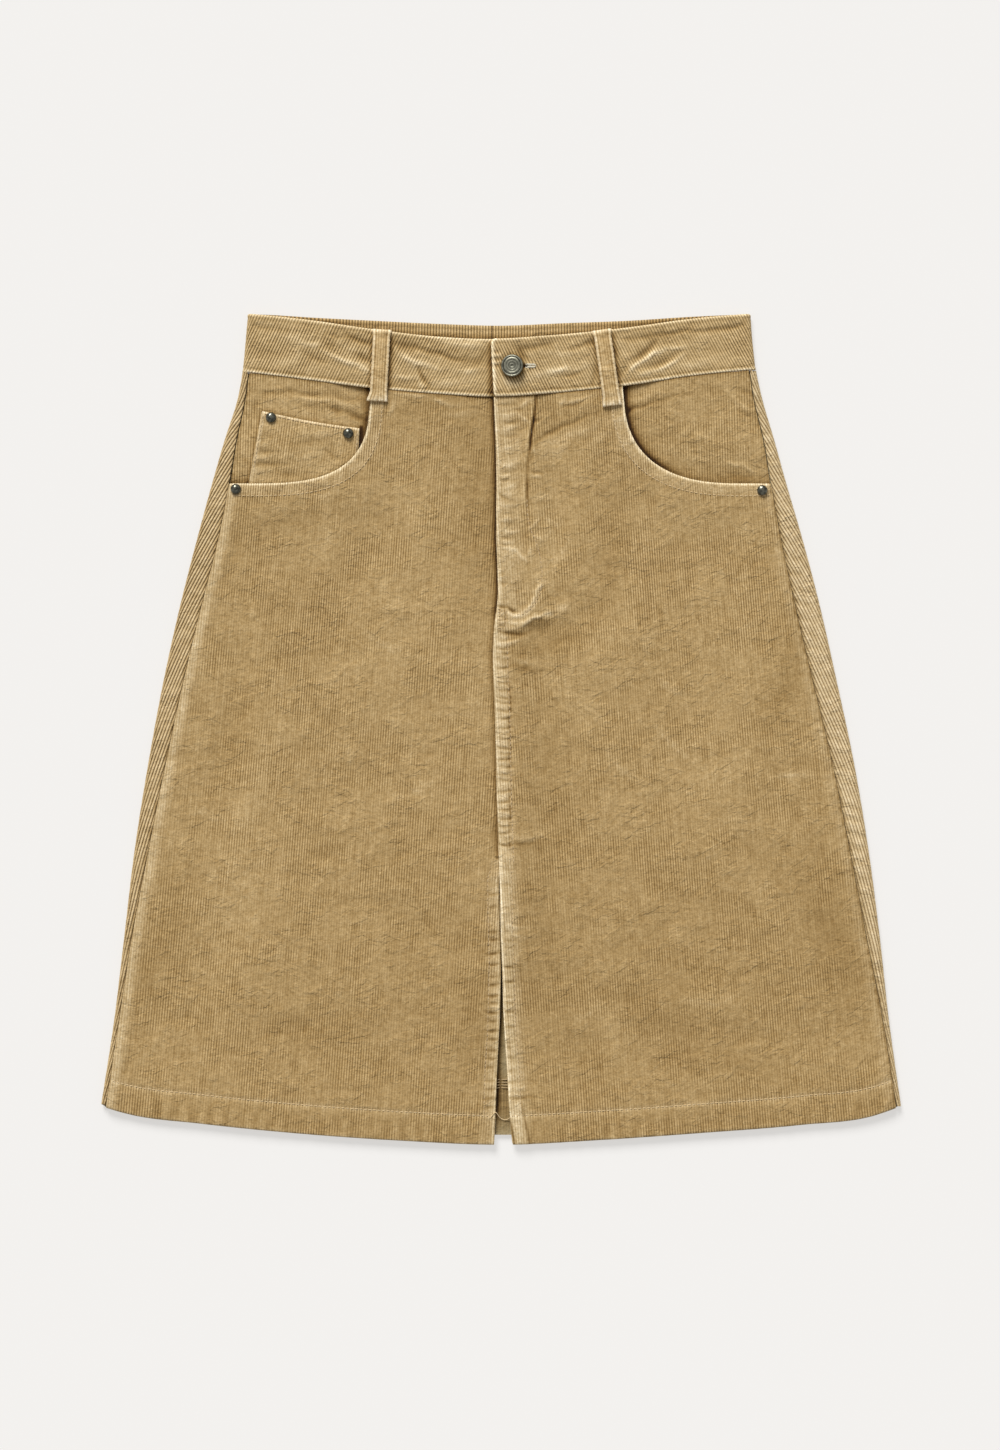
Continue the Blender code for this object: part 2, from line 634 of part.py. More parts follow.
def zip_tape(material):
    """The closed zip behind the fly: two tapes and the joined teeth between them."""
    left, right = ZIP["left"], ZIP["right"]
    first, last = ZIP["teeth"]
    base = CLOTH + GAP
    section = ((left, base), (right, base), (right, base + 0.8), (last, base + 0.8),
               (last - 0.4, base + 2.0), (first + 0.4, base + 2.0), (first, base + 0.8),
               (left, base + 0.8))
    mesh = bmesh.new()
    ends = [[mesh.verts.new((x, y, z)) for x, z in section] for y in (ZIP["low"], ZIP["high"])]
    count = len(section)
    for k in range(count):
        mesh.faces.new((ends[0][k], ends[0][(k + 1) % count], ends[1][(k + 1) % count], ends[1][k]))
    mesh.faces.new(ends[0])
    mesh.faces.new(ends[1])
    return place("fly_zip", mesh, material)


# ---------------------------------------------------------------- the skirt
for existing in list(bpy.data.objects):
    bpy.data.objects.remove(existing, do_unlink=True)

corduroy = paint("corduroy", (0.42, 0.28, 0.13), 0.9)
corduroy_back = paint("corduroy_back", (0.40, 0.27, 0.125), 0.9)
corduroy_band = paint("corduroy_band", (0.46, 0.32, 0.16), 0.88)
corduroy_pocket = paint("corduroy_pocket", (0.41, 0.275, 0.128), 0.9)
gunmetal = paint("gunmetal", (0.12, 0.10, 0.08), 0.42, 1.0)
zip_cloth = paint("zip_cloth", (0.44, 0.31, 0.16), 0.8)

back(corduroy_back)
for hand in (-1, 1):
    front(hand, corduroy)
    bearer(hand, corduroy_pocket)
bands = [waistband(hand, corduroy_band) for hand in (-1, 1)]
buttonhole(bands[1])
coin_pocket(corduroy_pocket)
for loop_name, loop_ends in BELT_LOOPS.items():
    belt_loop(loop_name, loop_ends, corduroy_band)
zip_tape(zip_cloth)

button_profile = ((0.0, 0.0), (2.1, 0.0), (2.1, 5.4), (6.9, 5.5), (7.8, 6.1), (BUTTON_RADIUS, 6.9),
                  (7.6, 7.7), (6.6, 8.0), (5.6, 7.5), (2.6, 7.3), (0.0, 7.6))
turned("button", button_profile, (*BUTTON_AT, BAND_HIGH - 0.2 + GAP), gunmetal, 24, BUTTON_TILT)
rivet_profile = ((0.0, 0.0), (3.4, 0.0), (RIVET_RADIUS, 0.35), (3.5, 0.8), (2.4, 1.3), (1.7, 1.2),
                 (0.9, 1.7), (0.0, 1.9))
for rivet_name, (rivet_x, rivet_y, carrier) in RIVETS.items():
    seat = carrier_high(carrier, rivet_x, rivet_y, RIVET_RADIUS + 1.0) + GAP
    turned(rivet_name, rivet_profile, (rivet_x, rivet_y, seat), gunmetal, 16)
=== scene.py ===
import math

import bpy
import numpy as np
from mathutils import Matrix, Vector


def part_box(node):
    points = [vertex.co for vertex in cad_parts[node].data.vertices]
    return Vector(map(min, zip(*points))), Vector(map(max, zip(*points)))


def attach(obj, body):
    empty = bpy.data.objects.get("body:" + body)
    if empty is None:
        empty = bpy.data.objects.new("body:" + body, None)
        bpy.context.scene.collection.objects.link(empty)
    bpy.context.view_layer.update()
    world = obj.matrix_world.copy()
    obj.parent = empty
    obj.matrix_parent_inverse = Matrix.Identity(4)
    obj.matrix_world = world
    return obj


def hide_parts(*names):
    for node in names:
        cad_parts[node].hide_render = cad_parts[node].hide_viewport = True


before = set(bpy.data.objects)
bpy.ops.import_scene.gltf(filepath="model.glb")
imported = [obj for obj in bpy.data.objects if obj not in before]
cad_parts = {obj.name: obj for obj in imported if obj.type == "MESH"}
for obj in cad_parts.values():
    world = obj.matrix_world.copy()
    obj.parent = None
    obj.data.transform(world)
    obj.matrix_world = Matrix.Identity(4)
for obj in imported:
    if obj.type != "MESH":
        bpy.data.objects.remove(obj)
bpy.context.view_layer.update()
MM = 0.001


# ------------------------------------------------------------------ back panel
# One back of fine 14-wale cotton corduroy, cut in one piece. Its edges fold round both sides to the
# front face, where they are felled to the fronts. Its wales run straight down, the hem is turned up
# once and stitched, and its smooth wrong side shows in the slit.
CLOTH = 1.4
DOUBLE = 2 * CLOTH
GAP = 0.3
HEM_TURN = 21.0
WALE = 1.87
RELIEF = 0.36

LEVELS = {
    "y": (299, 276, 256, 237, 208, 178, 136, 93, 35, -22, -87, -152, -210, -271),
    "fold_left": (-182.0, -183.9, -185.9, -189.4, -198.6, -207.3, -218.7, -229.7, -242.6, -253.2,
                  -263.5, -271.3, -278.3, -287.6),
    "seam_left": (-178.4, -180.2, -181.5, -184.0, -190.1, -195.2, -203.3, -214.2, -228.1, -240.4,
                  -253.3, -265.7, -274.6, -283.9),
    "seam_right": (175.6, 177.5, 179.0, 181.9, 188.8, 193.9, 201.5, 210.6, 224.1, 237.7, 250.8,
                   263.2, 274.6, 284.0),
    "fold_right": (179.2, 181.1, 183.7, 187.9, 196.4, 204.7, 216.9, 228.2, 241.3, 253.4, 264.3,
                   272.7, 279.1, 287.6),
}
ACROSS = (-1.0, -0.93, -0.75, -0.5, -0.25, 0.0, 0.25, 0.5, 0.75, 0.93, 1.0)
EDGES = {
    "hem": (-271.0, -276.8, -283.6, -290.8, -295.8, -298.7, -295.3, -290.3, -284.5, -278.0, -271.0),
    "back_hem": (-271.0, -275.4, -281.0, -286.0, -289.6, -291.8, -289.5, -285.8, -281.2, -276.4,
                 -271.0),
    "waist": (256.5, 255.0, 250.8, 244.9, 240.9, 238.8, 242.2, 247.1, 253.9, 257.3, 258.3),
    "back_waist": (256.5, 256.0, 254.5, 252.2, 250.0, 248.7, 250.5, 252.2, 255.4, 257.6, 258.3),
    "top": (298.4, 297.2, 293.6, 287.1, 281.9, 280.3, 283.7, 288.4, 294.6, 297.6, 298.5),
    "back_top": (298.4, 298.0, 296.0, 293.7, 291.5, 290.2, 292.0, 293.7, 296.5, 298.0, 298.5),
}
HALF_WIDTH = {"hem": 287.6, "waist": 184.9, "top": 180.8}


def ease(value):
    value = np.clip(value, 0.0, 1.0)
    return value * value * (3.0 - 2.0 * value)


def blend(first, second, share):
    return first + (second - first) * share


def through(knots, values, at):
    """Smooth curve through values at rising knots."""
    knots, values = np.asarray(knots, float), np.asarray(values, float)
    slopes = np.gradient(values, knots)
    cell = np.clip(np.searchsorted(knots, at) - 1, 0, len(knots) - 2)
    step = knots[cell + 1] - knots[cell]
    t = np.clip((at - knots[cell]) / step, 0.0, 1.0)
    start = (2 * t**3 - 3 * t**2 + 1) * values[cell] + (t**3 - 2 * t**2 + t) * step * slopes[cell]
    return start + (3 * t**2 - 2 * t**3) * values[cell + 1] + (t**3 - t**2) * step * slopes[cell + 1]


def level(name, y):
    return through(LEVELS["y"][::-1], LEVELS[name][::-1], np.asarray(y, float))


def edge(name, x):
    half = HALF_WIDTH[name.replace("back_", "")]
    return through(ACROSS, EDGES[name], np.asarray(x, float) / half)


def side_name(side):
    return "left" if side < 0 else "right"


def fold_high(y):
    """Height of the side folds, thicker at the hem and towards the waistband."""
    hem = 1.0 - ease((y + 247.0) / 50.0)
    waist = 1.0 - ease((256.0 - y) / 40.0)
    return 5.4 + 0.8 * hem + 1.0 * waist


def ripple(along, pitch, start):
    """An uneven wave, as thread that pulls cloth together leaves it."""
    wander = 1.3 * np.sin(along / (3.1 * pitch) + start)
    wander = wander + 0.8 * np.sin(along / (1.7 * pitch) + 2.3 * start)
    swell = 0.7 + 0.3 * np.sin(along / (2.3 * pitch) + 4.1 * start)
    return np.sin(2.0 * math.pi * along / pitch + wander) * swell


def hump(distance, width):
    return np.exp(-((distance / width) ** 2))


def rolled(distance, depth=0.8, reach=1.3):
    """How far a folded edge has rounded down at a distance in from it."""
    t = np.clip(distance / reach, 0.0, 1.0)
    return depth * (1.0 - np.sqrt(1.0 - (1.0 - t) ** 2))


def points(x, y, z):
    return np.stack(np.broadcast_arrays(x, y, z), axis=-1)


def wale_lines(first, last, pitch=WALE):
    """Positions of three lines of vertices on each wale: one in the groove and two on the crest."""
    return np.arange(math.ceil(first / pitch * 3), math.floor(last / pitch * 3) + 1)


def crossings(us, line, inside, span):
    """Where each wale line enters and leaves a piece."""
    run = np.arange(span[0] - 0.5, span[1] + 2.5, 2.0)
    def clear(u, r):
        return inside(line(u, r), r) > 0.0
    hit = clear(us[:, None], run[None, :])
    good = hit.any(axis=1)
    us, hit = us[good], hit[good]
    first = hit.argmax(axis=1)
    after = np.arange(hit.shape[1])[None, :] > first[:, None]
    last = np.where((after & ~hit).any(axis=1), (after & ~hit).argmax(axis=1), hit.shape[1] - 1)
    ends = []
    for outside, within in ((run[np.maximum(first - 1, 0)], run[first]), (run[last], run[last - 1])):
        outside, within = outside.copy(), within.copy()
        for _ in range(24):
            middle = (outside + within) / 2.0
            ok = clear(us, middle)
            within = np.where(ok, middle, within)
            outside = np.where(ok, outside, middle)
        ends.append(within)
    long_enough = ends[1] - ends[0] > 1.0
    return good.nonzero()[0][long_enough], ends[0][long_enough], ends[1][long_enough]


def patchy(u, r, size, seed):
    """A slow uneven change from place to place, from 0 to 1."""
    grid = np.random.default_rng(seed).random((97, 97))
    i, j = np.mod(u / size, 96.0), np.mod(r / size, 96.0)
    a, b = i.astype(int), j.astype(int)
    s, t = ease(i - a), ease(j - b)
    low = blend(grid[a, b], grid[a + 1, b], s)
    return blend(low, blend(grid[a, b + 1], grid[a + 1, b + 1], s), t)


def crushed_pile(name, u, r):
    """Where the pile is flattened and the wales fade."""
    rough = 0.55 * patchy(u, r, 26.0, len(name)) + 0.45 * patchy(u, r, 8.0, len(name) + 1)
    return ease((rough - 0.36) / 0.26)


def solid(name, co, faces, sharp):
    """A closed piece from its points in millimetres and its faces, turned right side out."""
    data = bpy.data.meshes.new(name)
    data.from_pydata((np.asarray(co) * MM).tolist(), [], [[int(v) for v in face] for face in faces])
    data.validate()
    data.update()
    corners = [np.asarray(co)[[f[k] for f in faces]] for k in (0, 1, 2)]
    if np.einsum("ij,ij->i", corners[0], np.cross(corners[1], corners[2])).sum() < 0.0:
        data.flip_normals()
    data.shade_smooth()
    data.set_sharp_from_angle(angle=math.radians(sharp))
    piece = bpy.data.objects.new(name, data)
    bpy.context.scene.collection.objects.link(piece)
    return piece


def lay_flat(piece, u, v):
    """Where each point lies on the flat cloth."""
    uv = piece.data.uv_layers.new(name="cloth")
    flat = np.stack((u, v), axis=-1) * MM
    corner = np.zeros(len(piece.data.loops), np.int32)
    piece.data.loops.foreach_get("vertex_index", corner)
    uv.data.foreach_set("uv", flat[corner].ravel().astype(np.float32))


def paint(piece, label, values):
    """Store a share at each point for the material to read."""
    made = piece.data.attributes.new(label, "FLOAT", "POINT")
    made.data.foreach_set("value", np.asarray(values).astype(np.float32))


# The rows' numbers at the three points that each line of vertices has at either end.
START_KEYS, END_KEYS = (-3, -2, -1), (90001, 90002, 90003)
SHARP_FOLD = 70.0


def woven(name, steps, line, inside, outer, inner, span, rows, keep, keep_inner, paint_wear_and_highlight=None,
          inner_sink=None, plain=None, shade=None, crush=None, pitch=WALE):
    """A closed sheet of corduroy. Its lines of vertices follow the wales and end at its outline."""
    us = steps * pitch / 3.0
    picked, starts, ends = crossings(us, line, inside, span)
    steps, us = steps[picked], us[picked]
    columns = []
    for u, start, end in zip(us, starts, ends):
        length = end - start
        near, next_near = min(0.7, 0.12 * length), min(1.8, 0.3 * length)
        low, high = np.searchsorted(rows, (start + next_near + 0.5, end - next_near - 0.5))
        index = np.arange(low, high)
        r = rows[index]
        a = line(u, r)
        keys = np.concatenate((START_KEYS, index[keep(a, r)], END_KEYS))
        run = np.concatenate(([start, start + near, start + next_near], r[keep(a, r)],
                              [end - next_near, end - near, end]))
        inner_keys = np.concatenate((START_KEYS[:1], index[keep_inner(a, r)], END_KEYS[-1:]))
        inner_run = np.concatenate(([start], r[keep_inner(a, r)], [end]))
        columns.append((keys, run, inner_keys, inner_run))
    counts = np.array([len(c[0]) for c in columns])
    inner_counts = np.array([len(c[2]) for c in columns])
    first = np.concatenate(([0], np.cumsum(counts)))
    inner_first = first[-1] + np.concatenate(([0], np.cumsum(inner_counts)))
    u_out, u_in = np.repeat(us, counts), np.repeat(us, inner_counts)
    groove = (steps % 3 == 0).astype(float)
    r_out = np.concatenate([c[1] for c in columns])
    r_in = np.concatenate([c[3] for c in columns])
    a_out, a_in = line(u_out, r_out), line(u_in, r_in)
    flat_out, flat_in = crushed_pile(name, u_out, r_out), crushed_pile(name, u_in, r_in)
    if crush is not None:
        flat_out, flat_in = crush(a_out, r_out, flat_out), crush(a_in, r_in, flat_in)
    sink_out = RELIEF * np.repeat(groove, counts) * (1.15 - 0.75 * flat_out)
    sink_in = np.repeat(groove, inner_counts) * (0.0 if inner_sink is None else inner_sink(a_in, r_in))
    co = np.concatenate((outer(a_out, r_out, sink_out), inner(a_in, r_in, sink_in)))
    faces = []
    for j, (keys, _, inner_keys, _) in enumerate(columns):
        if j + 1 < len(columns):
            for part, base, side_base, flip in ((0, first[j], first[j + 1], False),
                                                (2, inner_first[j], inner_first[j + 1], True)):
                _, ia, ib = np.intersect1d(columns[j][part], columns[j + 1][part], assume_unique=True,
                                           return_indices=True)
                ia, ib = (ia + base).tolist(), (ib + side_base).tolist()
                for m in range(len(ia) - 1):
                    face = list(range(ia[m], ia[m + 1] + 1)) + list(range(ib[m + 1], ib[m] - 1, -1))
                    faces.append(face[::-1] if flip else face)
            faces.append([first[j], first[j + 1], inner_first[j + 1], inner_first[j]])
            faces.append([first[j + 2] - 1, first[j + 1] - 1, inner_first[j + 1] - 1,
                          inner_first[j + 2] - 1])
        if j in (0, len(columns) - 1):
            _, io, ii = np.intersect1d(keys, inner_keys, assume_unique=True, return_indices=True)
            io, ii = (io + first[j]).tolist(), (ii + inner_first[j]).tolist()
            for m in range(len(io) - 1):
                outside = list(range(io[m + 1], io[m] - 1, -1))
                face = outside + list(range(ii[m], ii[m + 1] + 1))
                faces.append(face if j == 0 else face[::-1])
    piece = solid(name, co, faces, SHARP_FOLD)
    lay_flat(piece, np.concatenate((u_out, u_in)), np.concatenate((r_out, r_in)))
    a, r = np.concatenate((a_out, a_in)), np.concatenate((r_out, r_in))
    outside = np.concatenate((np.ones(len(a_out)), np.zeros(len(a_in))))
    # Pale edges and ridges: partly real wear, partly painted highlight where they face the light.
    paint(piece, "wear_and_painted_highlight", np.zeros(len(a)) if paint_wear_and_highlight is None else paint_wear_and_highlight(a, r))
    paint(piece, "wrong_side", (1.0 - outside) * (1.0 if plain is None else plain(a, r)))
    # Painted shade and painted highlights from the shade function: darker in seams, creases, gaps and
    # under other parts, paler on ridges and edges that face the light.
    paint(piece, "painted_shade_and_tarnish", np.zeros(len(a)) if shade is None else shade(a, r, outside))
    paint(piece, "crushed", np.concatenate((flat_out, flat_in)))
    return piece


def start_material(name, **settings):
    """A new material, its shader, and short ways to add nodes, sums, blends, specks and bumps to it."""
    material = bpy.data.materials.new(name)
    material.use_nodes = True
    tree = material.node_tree
    shader = tree.nodes["Principled BSDF"]
    for key, value in settings.items():
        shader.inputs[key.replace("_", " ")].default_value = value

    def node(kind, **choices):
        made = tree.nodes.new(kind)
        for key, value in choices.items():
            setattr(made, key, value)
        return made

    def feed(socket, value):
        if isinstance(value, (int, float)):
            socket.default_value = value
        elif isinstance(value, tuple):
            socket.default_value = (*value, 1.0)
        else:
            tree.links.new(value, socket)

    def number(operation, *values, clamp=False):
        made = node("ShaderNodeMath", operation=operation, use_clamp=clamp)
        for socket, value in zip(made.inputs, values):
            feed(socket, value)
        return made.outputs[0]

    def tinted(share, first, second):
        made = node("ShaderNodeMix", data_type="RGBA")
        feed(made.inputs["Factor"], share)
        for key, value in (("A", first), ("B", second)):
            feed([s for s in made.inputs if s.name == key and s.type == "RGBA"][0], value)
        return [s for s in made.outputs if s.type == "RGBA"][0]

    def speckle(where, scale, detail=2.0, roughness=0.5):
        made = node("ShaderNodeTexNoise")
        for key, value in (("Vector", where), ("Scale", scale), ("Detail", detail),
                           ("Roughness", roughness)):
            feed(made.inputs[key], value)
        return made.outputs[0]

    def bumped(height, strength, distance):
        made = node("ShaderNodeBump")
        for key, value in (("Height", height), ("Strength", strength), ("Distance", distance)):
            feed(made.inputs[key], value)
        feed(shader.inputs["Normal"], made.outputs[0])

    return material, shader, node, feed, number, tinted, speckle, bumped


def corduroy(name, pile, groove, pale_wear_and_highlight, wrong=(0.40, 0.33, 0.22), seed=0.0, hatched=1.0, pitch=WALE):
    """Cut-pile corduroy: rounded wales with dark grooves, partly painted shade, streaky pile, and pale
    edges, partly rubbed and partly painted highlight.
    """
    material, shader, node, feed, number, tinted, speckle, bumped = start_material(
        name, Roughness=0.92, Specular_IOR_Level=0.22, Sheen_Weight=0.14, Sheen_Roughness=0.45,
        Sheen_Tint=(0.95, 0.80, 0.55, 1.0))

    def noise(per_metre, detail, offset, roughness=0.6, turn=0.0):
        place = node("ShaderNodeMapping", vector_type="TEXTURE")
        place.inputs["Scale"].default_value = (1.0 / per_metre[0], 1.0 / per_metre[1], 1.0)
        place.inputs["Rotation"].default_value = (0.0, 0.0, turn)
        place.inputs["Location"].default_value = (0.1 * (offset + seed), 0.037 * offset, seed)
        feed(place.inputs["Vector"], uv)
        return speckle(place.outputs[0], 1.0, detail, roughness)

    def between(value, low, high, first, last):
        made = node("ShaderNodeMapRange", interpolation_type="SMOOTHSTEP")
        for key, limit in (("Value", value), ("From Min", low), ("From Max", high), ("To Min", first),
                           ("To Max", last)):
            feed(made.inputs[key], limit)
        return made.outputs[0]

    def crease_lines(per_metre, offset, width, turn):
        """Steps along winding lines, as sharp small creases leave them."""
        return between(noise(per_metre, 3.0, offset, 0.55, turn), 0.5 - width, 0.5 + width, 0.0, 1.0)

    def sum_of(*terms):
        total = 0.0
        for value, share in terms:
            total = number("MULTIPLY_ADD", value, share, total)
        return total

    def painted(label):
        return node("ShaderNodeAttribute", attribute_name=label).outputs["Fac"]

    uv = node("ShaderNodeUVMap", uv_map="cloth").outputs[0]
    split = node("ShaderNodeSeparateXYZ")
    feed(split.inputs[0], uv)
    phase = number("FRACT", number("DIVIDE", split.outputs[0], pitch * MM))
    off_crest = number("MULTIPLY", number("ABSOLUTE", number("SUBTRACT", phase, 0.5)), 2.0)
    crest = between(off_crest, 0.25, 0.95, 1.0, 0.0)
    crushed = painted("crushed")
    fibres = noise((1700.0, 300.0), 3.0, 1.3)
    streaks = noise((520.0, 40.0), 1.0, 5.1)
    grain = noise((560.0, 560.0), 2.0, 9.4)
    rising = noise((420.0, 130.0), 2.0, 2.9, 0.5, 0.75)
    falling = noise((400.0, 120.0), 2.0, 6.1, 0.5, -0.8)
    crumple = noise((120.0, 190.0), 3.0, 4.9, 0.6, 0.15)
    clouds = noise((48.0, 56.0), 3.0, 3.7)
    broken = between(noise((45.0, 45.0), 2.0, 7.7), 0.44, 0.58, 0.2, 1.0)
    small_lines = crease_lines((80.0, 150.0), 12.2, 0.04, 0.2)
    long_lines = crease_lines((34.0, 76.0), 15.9, 0.02, 0.45)
    level_lines = crease_lines((36.0, 90.0), 18.3, 0.022, -0.25)
    hatch = number("MULTIPLY", sum_of((rising, 1.0), (falling, 0.8), (crest, -0.1)), 0.5)
    tone = sum_of((fibres, 0.36), (streaks, 0.46), (grain, 0.28 + 0.28 * hatched),
                  (hatch, 0.80 * hatched), (crumple, 0.42), (clouds, 0.12), (crushed, 0.04))
    tone = number("ADD", tone, 0.19 - 0.48 * hatched)
    lit = number("MULTIPLY", number("SUBTRACT", crest, 0.62),
                 number("SUBTRACT", 0.97, number("MULTIPLY", crushed, 0.7)))
    lit = number("ADD", lit, 0.62, clamp=True)
    # The groove colour is darker partly as painted shade in the grooves.
    base = tinted(lit, groove, pile)
    # Pale edges: partly real wear, partly painted highlight.
    wear_and_highlight_share = number("MULTIPLY", painted("wear_and_painted_highlight"),
                 number("ADD", 0.45, number("MULTIPLY", fibres, 0.9)), clamp=True)
    wear_and_highlight_share = number("MULTIPLY", wear_and_highlight_share, number("ADD", 0.35, number("MULTIPLY", crest, 0.65)), clamp=True)
    base = tinted(wear_and_highlight_share, base, pale_wear_and_highlight)
    base = tinted(painted("wrong_side"), base, wrong)
    # Painted shade darkens the tone; below zero it is a painted highlight that lifts it.
    tone = number("MULTIPLY", tone, number("SUBTRACT", 1.0, painted("painted_shade_and_tarnish")))
    tone = number("MAXIMUM", tone, 0.02)
    # Blue falls fastest and red slowest, so painted shade and darker tone stay warm brown.
    deepened = node("ShaderNodeCombineXYZ")
    for channel, power in enumerate((1.0, 1.22, 1.7)):
        feed(deepened.inputs[channel], number("POWER", tone, power))
    toned = node("ShaderNodeVectorMath", operation="MULTIPLY")
    feed(toned.inputs[0], base)
    feed(toned.inputs[1], deepened.outputs[0])
    feed(shader.inputs["Base Color"], toned.outputs[0])
    lines = sum_of((small_lines, 0.19), (long_lines, 0.46), (level_lines, 0.38))
    height = sum_of((fibres, 0.22), (crest, 0.14), (grain, 0.6), (crumple, 1.2), (clouds, 0.6),
                    (number("MULTIPLY", lines, broken), 1.0))
    bumped(height, 0.85, 0.0006)
    return material


def dress(piece, *nodes, material, slot="corduroy"):
    piece.data.materials.append(material)
    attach(piece, "root")
    if nodes:
        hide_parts(*nodes)
    return piece


# Pile colour; groove colour, darker partly as painted shade; pale colour of worn edges, partly painted
# highlight.
PILE, GROOVE, PALE_WEAR_AND_HIGHLIGHT = (0.482, 0.330, 0.145), (0.225, 0.134, 0.047), (0.74, 0.60, 0.37)
panel_cord = corduroy("corduroy_panels", PILE, GROOVE, PALE_WEAR_AND_HIGHLIGHT)
BACK_WALE = 2.1
back_cord = corduroy("corduroy_back", PILE, GROOVE, PALE_WEAR_AND_HIGHLIGHT, (0.33, 0.255, 0.135), 3.0, 0.1, BACK_WALE)


def fold_centre(side, y):
    return level("fold_" + side_name(side), y) - side * fold_high(y) / 2.0


def round_fold(a, y):
    """For a point of the flat back: how far it lies past a fold's start, and the fold beside it."""
    side = np.where(a < 0.0, -1.0, 1.0)
    at = np.asarray(y, float) + 0.0 * a
    y = at.copy()
    for _ in range(6):
        centre = np.where(side < 0.0, fold_centre(-1, at), fold_centre(1, at))
        ahead = np.where(side < 0.0, fold_centre(-1, at + 1.0), fold_centre(1, at + 1.0))
        slope = ahead - centre
        size = np.sqrt(1.0 + slope**2)
        beyond = (a - centre) * side * size
        at = y + np.maximum(beyond, 0.0) * slope / size
    return side, at, centre, slope, size, beyond


def seam_at(side, y):
    return np.where(side < 0.0, level("seam_left", y), level("seam_right", y))


def back_place(a, y, layer):
    """Place in space of a point of the flat back, at a depth inside the cloth from its right side."""
    side, at, centre, slope, size, beyond = round_fold(a, y)
    radius = fold_high(at) / 2.0
    turn = np.clip(beyond / radius, 0.0, math.pi)
    reach = radius - layer
    out = np.where(beyond < math.pi * radius, reach * np.sin(turn), math.pi * radius - beyond)
    out = np.where(beyond > 0.0, out, 0.0)
    x = np.where(beyond > 0.0, centre + side * out / size, a)
    place_y = np.where(beyond > 0.0, at - side * slope * out / size, y)
    z = radius - reach * np.cos(turn)
    return x, place_y, z, beyond - math.pi * radius


def back_inside(a, r):
    y = r + edge("back_hem", a)
    x, place_y, _, strip = back_place(a, y, 0.0)
    side = np.where(a < 0.0, -1.0, 1.0)
    on_strip = strip > 0.0
    low = np.where(on_strip, place_y - edge("hem", x), r)
    high = np.where(on_strip, edge("waist", x), edge("back_waist", a)) - GAP - y
    high = np.where(on_strip, edge("waist", x) - GAP - place_y, high)
    sewn = np.where(on_strip, side * (x - seam_at(side, place_y)) - GAP / 2.0, 5.0)
    return np.minimum(np.minimum(low, high), sewn)


def back_thick(r):
    return CLOTH + CLOTH * (1.0 - ease((r - HEM_TURN) / 1.6))


def strip_wave(x, y):
    """Uneven puckers across the strips that fold round to the front."""
    side = np.where(x < 0.0, -1.0, 1.0)
    away = np.abs(x - seam_at(side, y))
    wave = ripple(y + 0.35 * side * away, 10.5, 1.0) + 0.45 * ripple(y - 0.2 * away, 5.3, 3.0)
    wave = wave - 0.5 * ease((-wave - 0.3) / 0.6)
    return np.where(side > 0.0, 1.0, 0.6) * wave * hump(away - 4.5, 7.5), away, side


def strip_puckers(x, y, strip):
    wave, away, side = strip_wave(x, y)
    lift = 0.20 * wave + 0.35 * (side > 0.0) * hump(away - 6.0, 6.0)
    lift = lift - 0.35 * hump(y - edge("hem", x) - HEM_TURN, 1.0)
    return np.where(strip > 0.0, lift - rolled(away, 0.6, 1.2), 0.0)


def back_outer(a, r, sink):
    y = r + edge("back_hem", a)
    x, place_y, z, strip = back_place(a, y, sink * np.where(near_fold(a, r), 1.5, 1.0))
    return points(x, place_y, z + strip_puckers(x, place_y, strip))


def back_inner(a, r, sink):
    y = r + edge("back_hem", a)
    x, place_y, z, strip = back_place(a, y, back_thick(r) - sink)
    return points(x, place_y, z + strip_puckers(x, place_y, strip))


def near_fold(a, r):
    y = r + edge("back_hem", a)
    return np.abs(a) > np.where(a < 0.0, -fold_centre(-1, y), fold_centre(1, y)) - 2.0


def back_shade(a, r, outside):
    """Painted shade and highlights: dark seams beside the fronts, light and dark on the strips' puckers,
    and the dim inside that the slit shows.
    """
    x, y, _, strip = back_place(a, r + edge("back_hem", a), 0.0)
    wave, away, side = strip_wave(x, y)
    seam = np.where(side < 0.0, 0.10 + 0.55 * np.clip(ripple(y, 21.0, 0.6), 0.0, 1.0),
                    0.30 + 0.30 * ripple(y, 7.0, 2.0))
    seam = seam * (1.0 - 0.8 * ease((y - 168.0) / 8.0))
    seam = seam * (1.0 - 0.7 * (side < 0.0) * ease((-150.0 - y) / 30.0))
    beside = seam * hump(away, 1.5) - 0.08 * np.clip(wave, -1.4, 1.0) - 0.13 * ease(away / 4.0)
    dim = 0.05 + 0.24 * ease((r - 45.0) / 60.0) + 0.30 * ease((r - 11.0) / 2.0) * ease((34.0 - r) / 2.0)
    slit_left = -3.3 + 0.045 * (r - 20.0)
    dim = dim + 0.62 * hump(np.maximum(x - slit_left, 0.0), 2.4) * ease((r - 12.0) / 6.0)
    dim = np.minimum(dim, 0.9) * (np.abs(a) < 20.0)
    return np.where(outside > 0.5, np.where(strip > 0.0, beside, 0.0), dim)


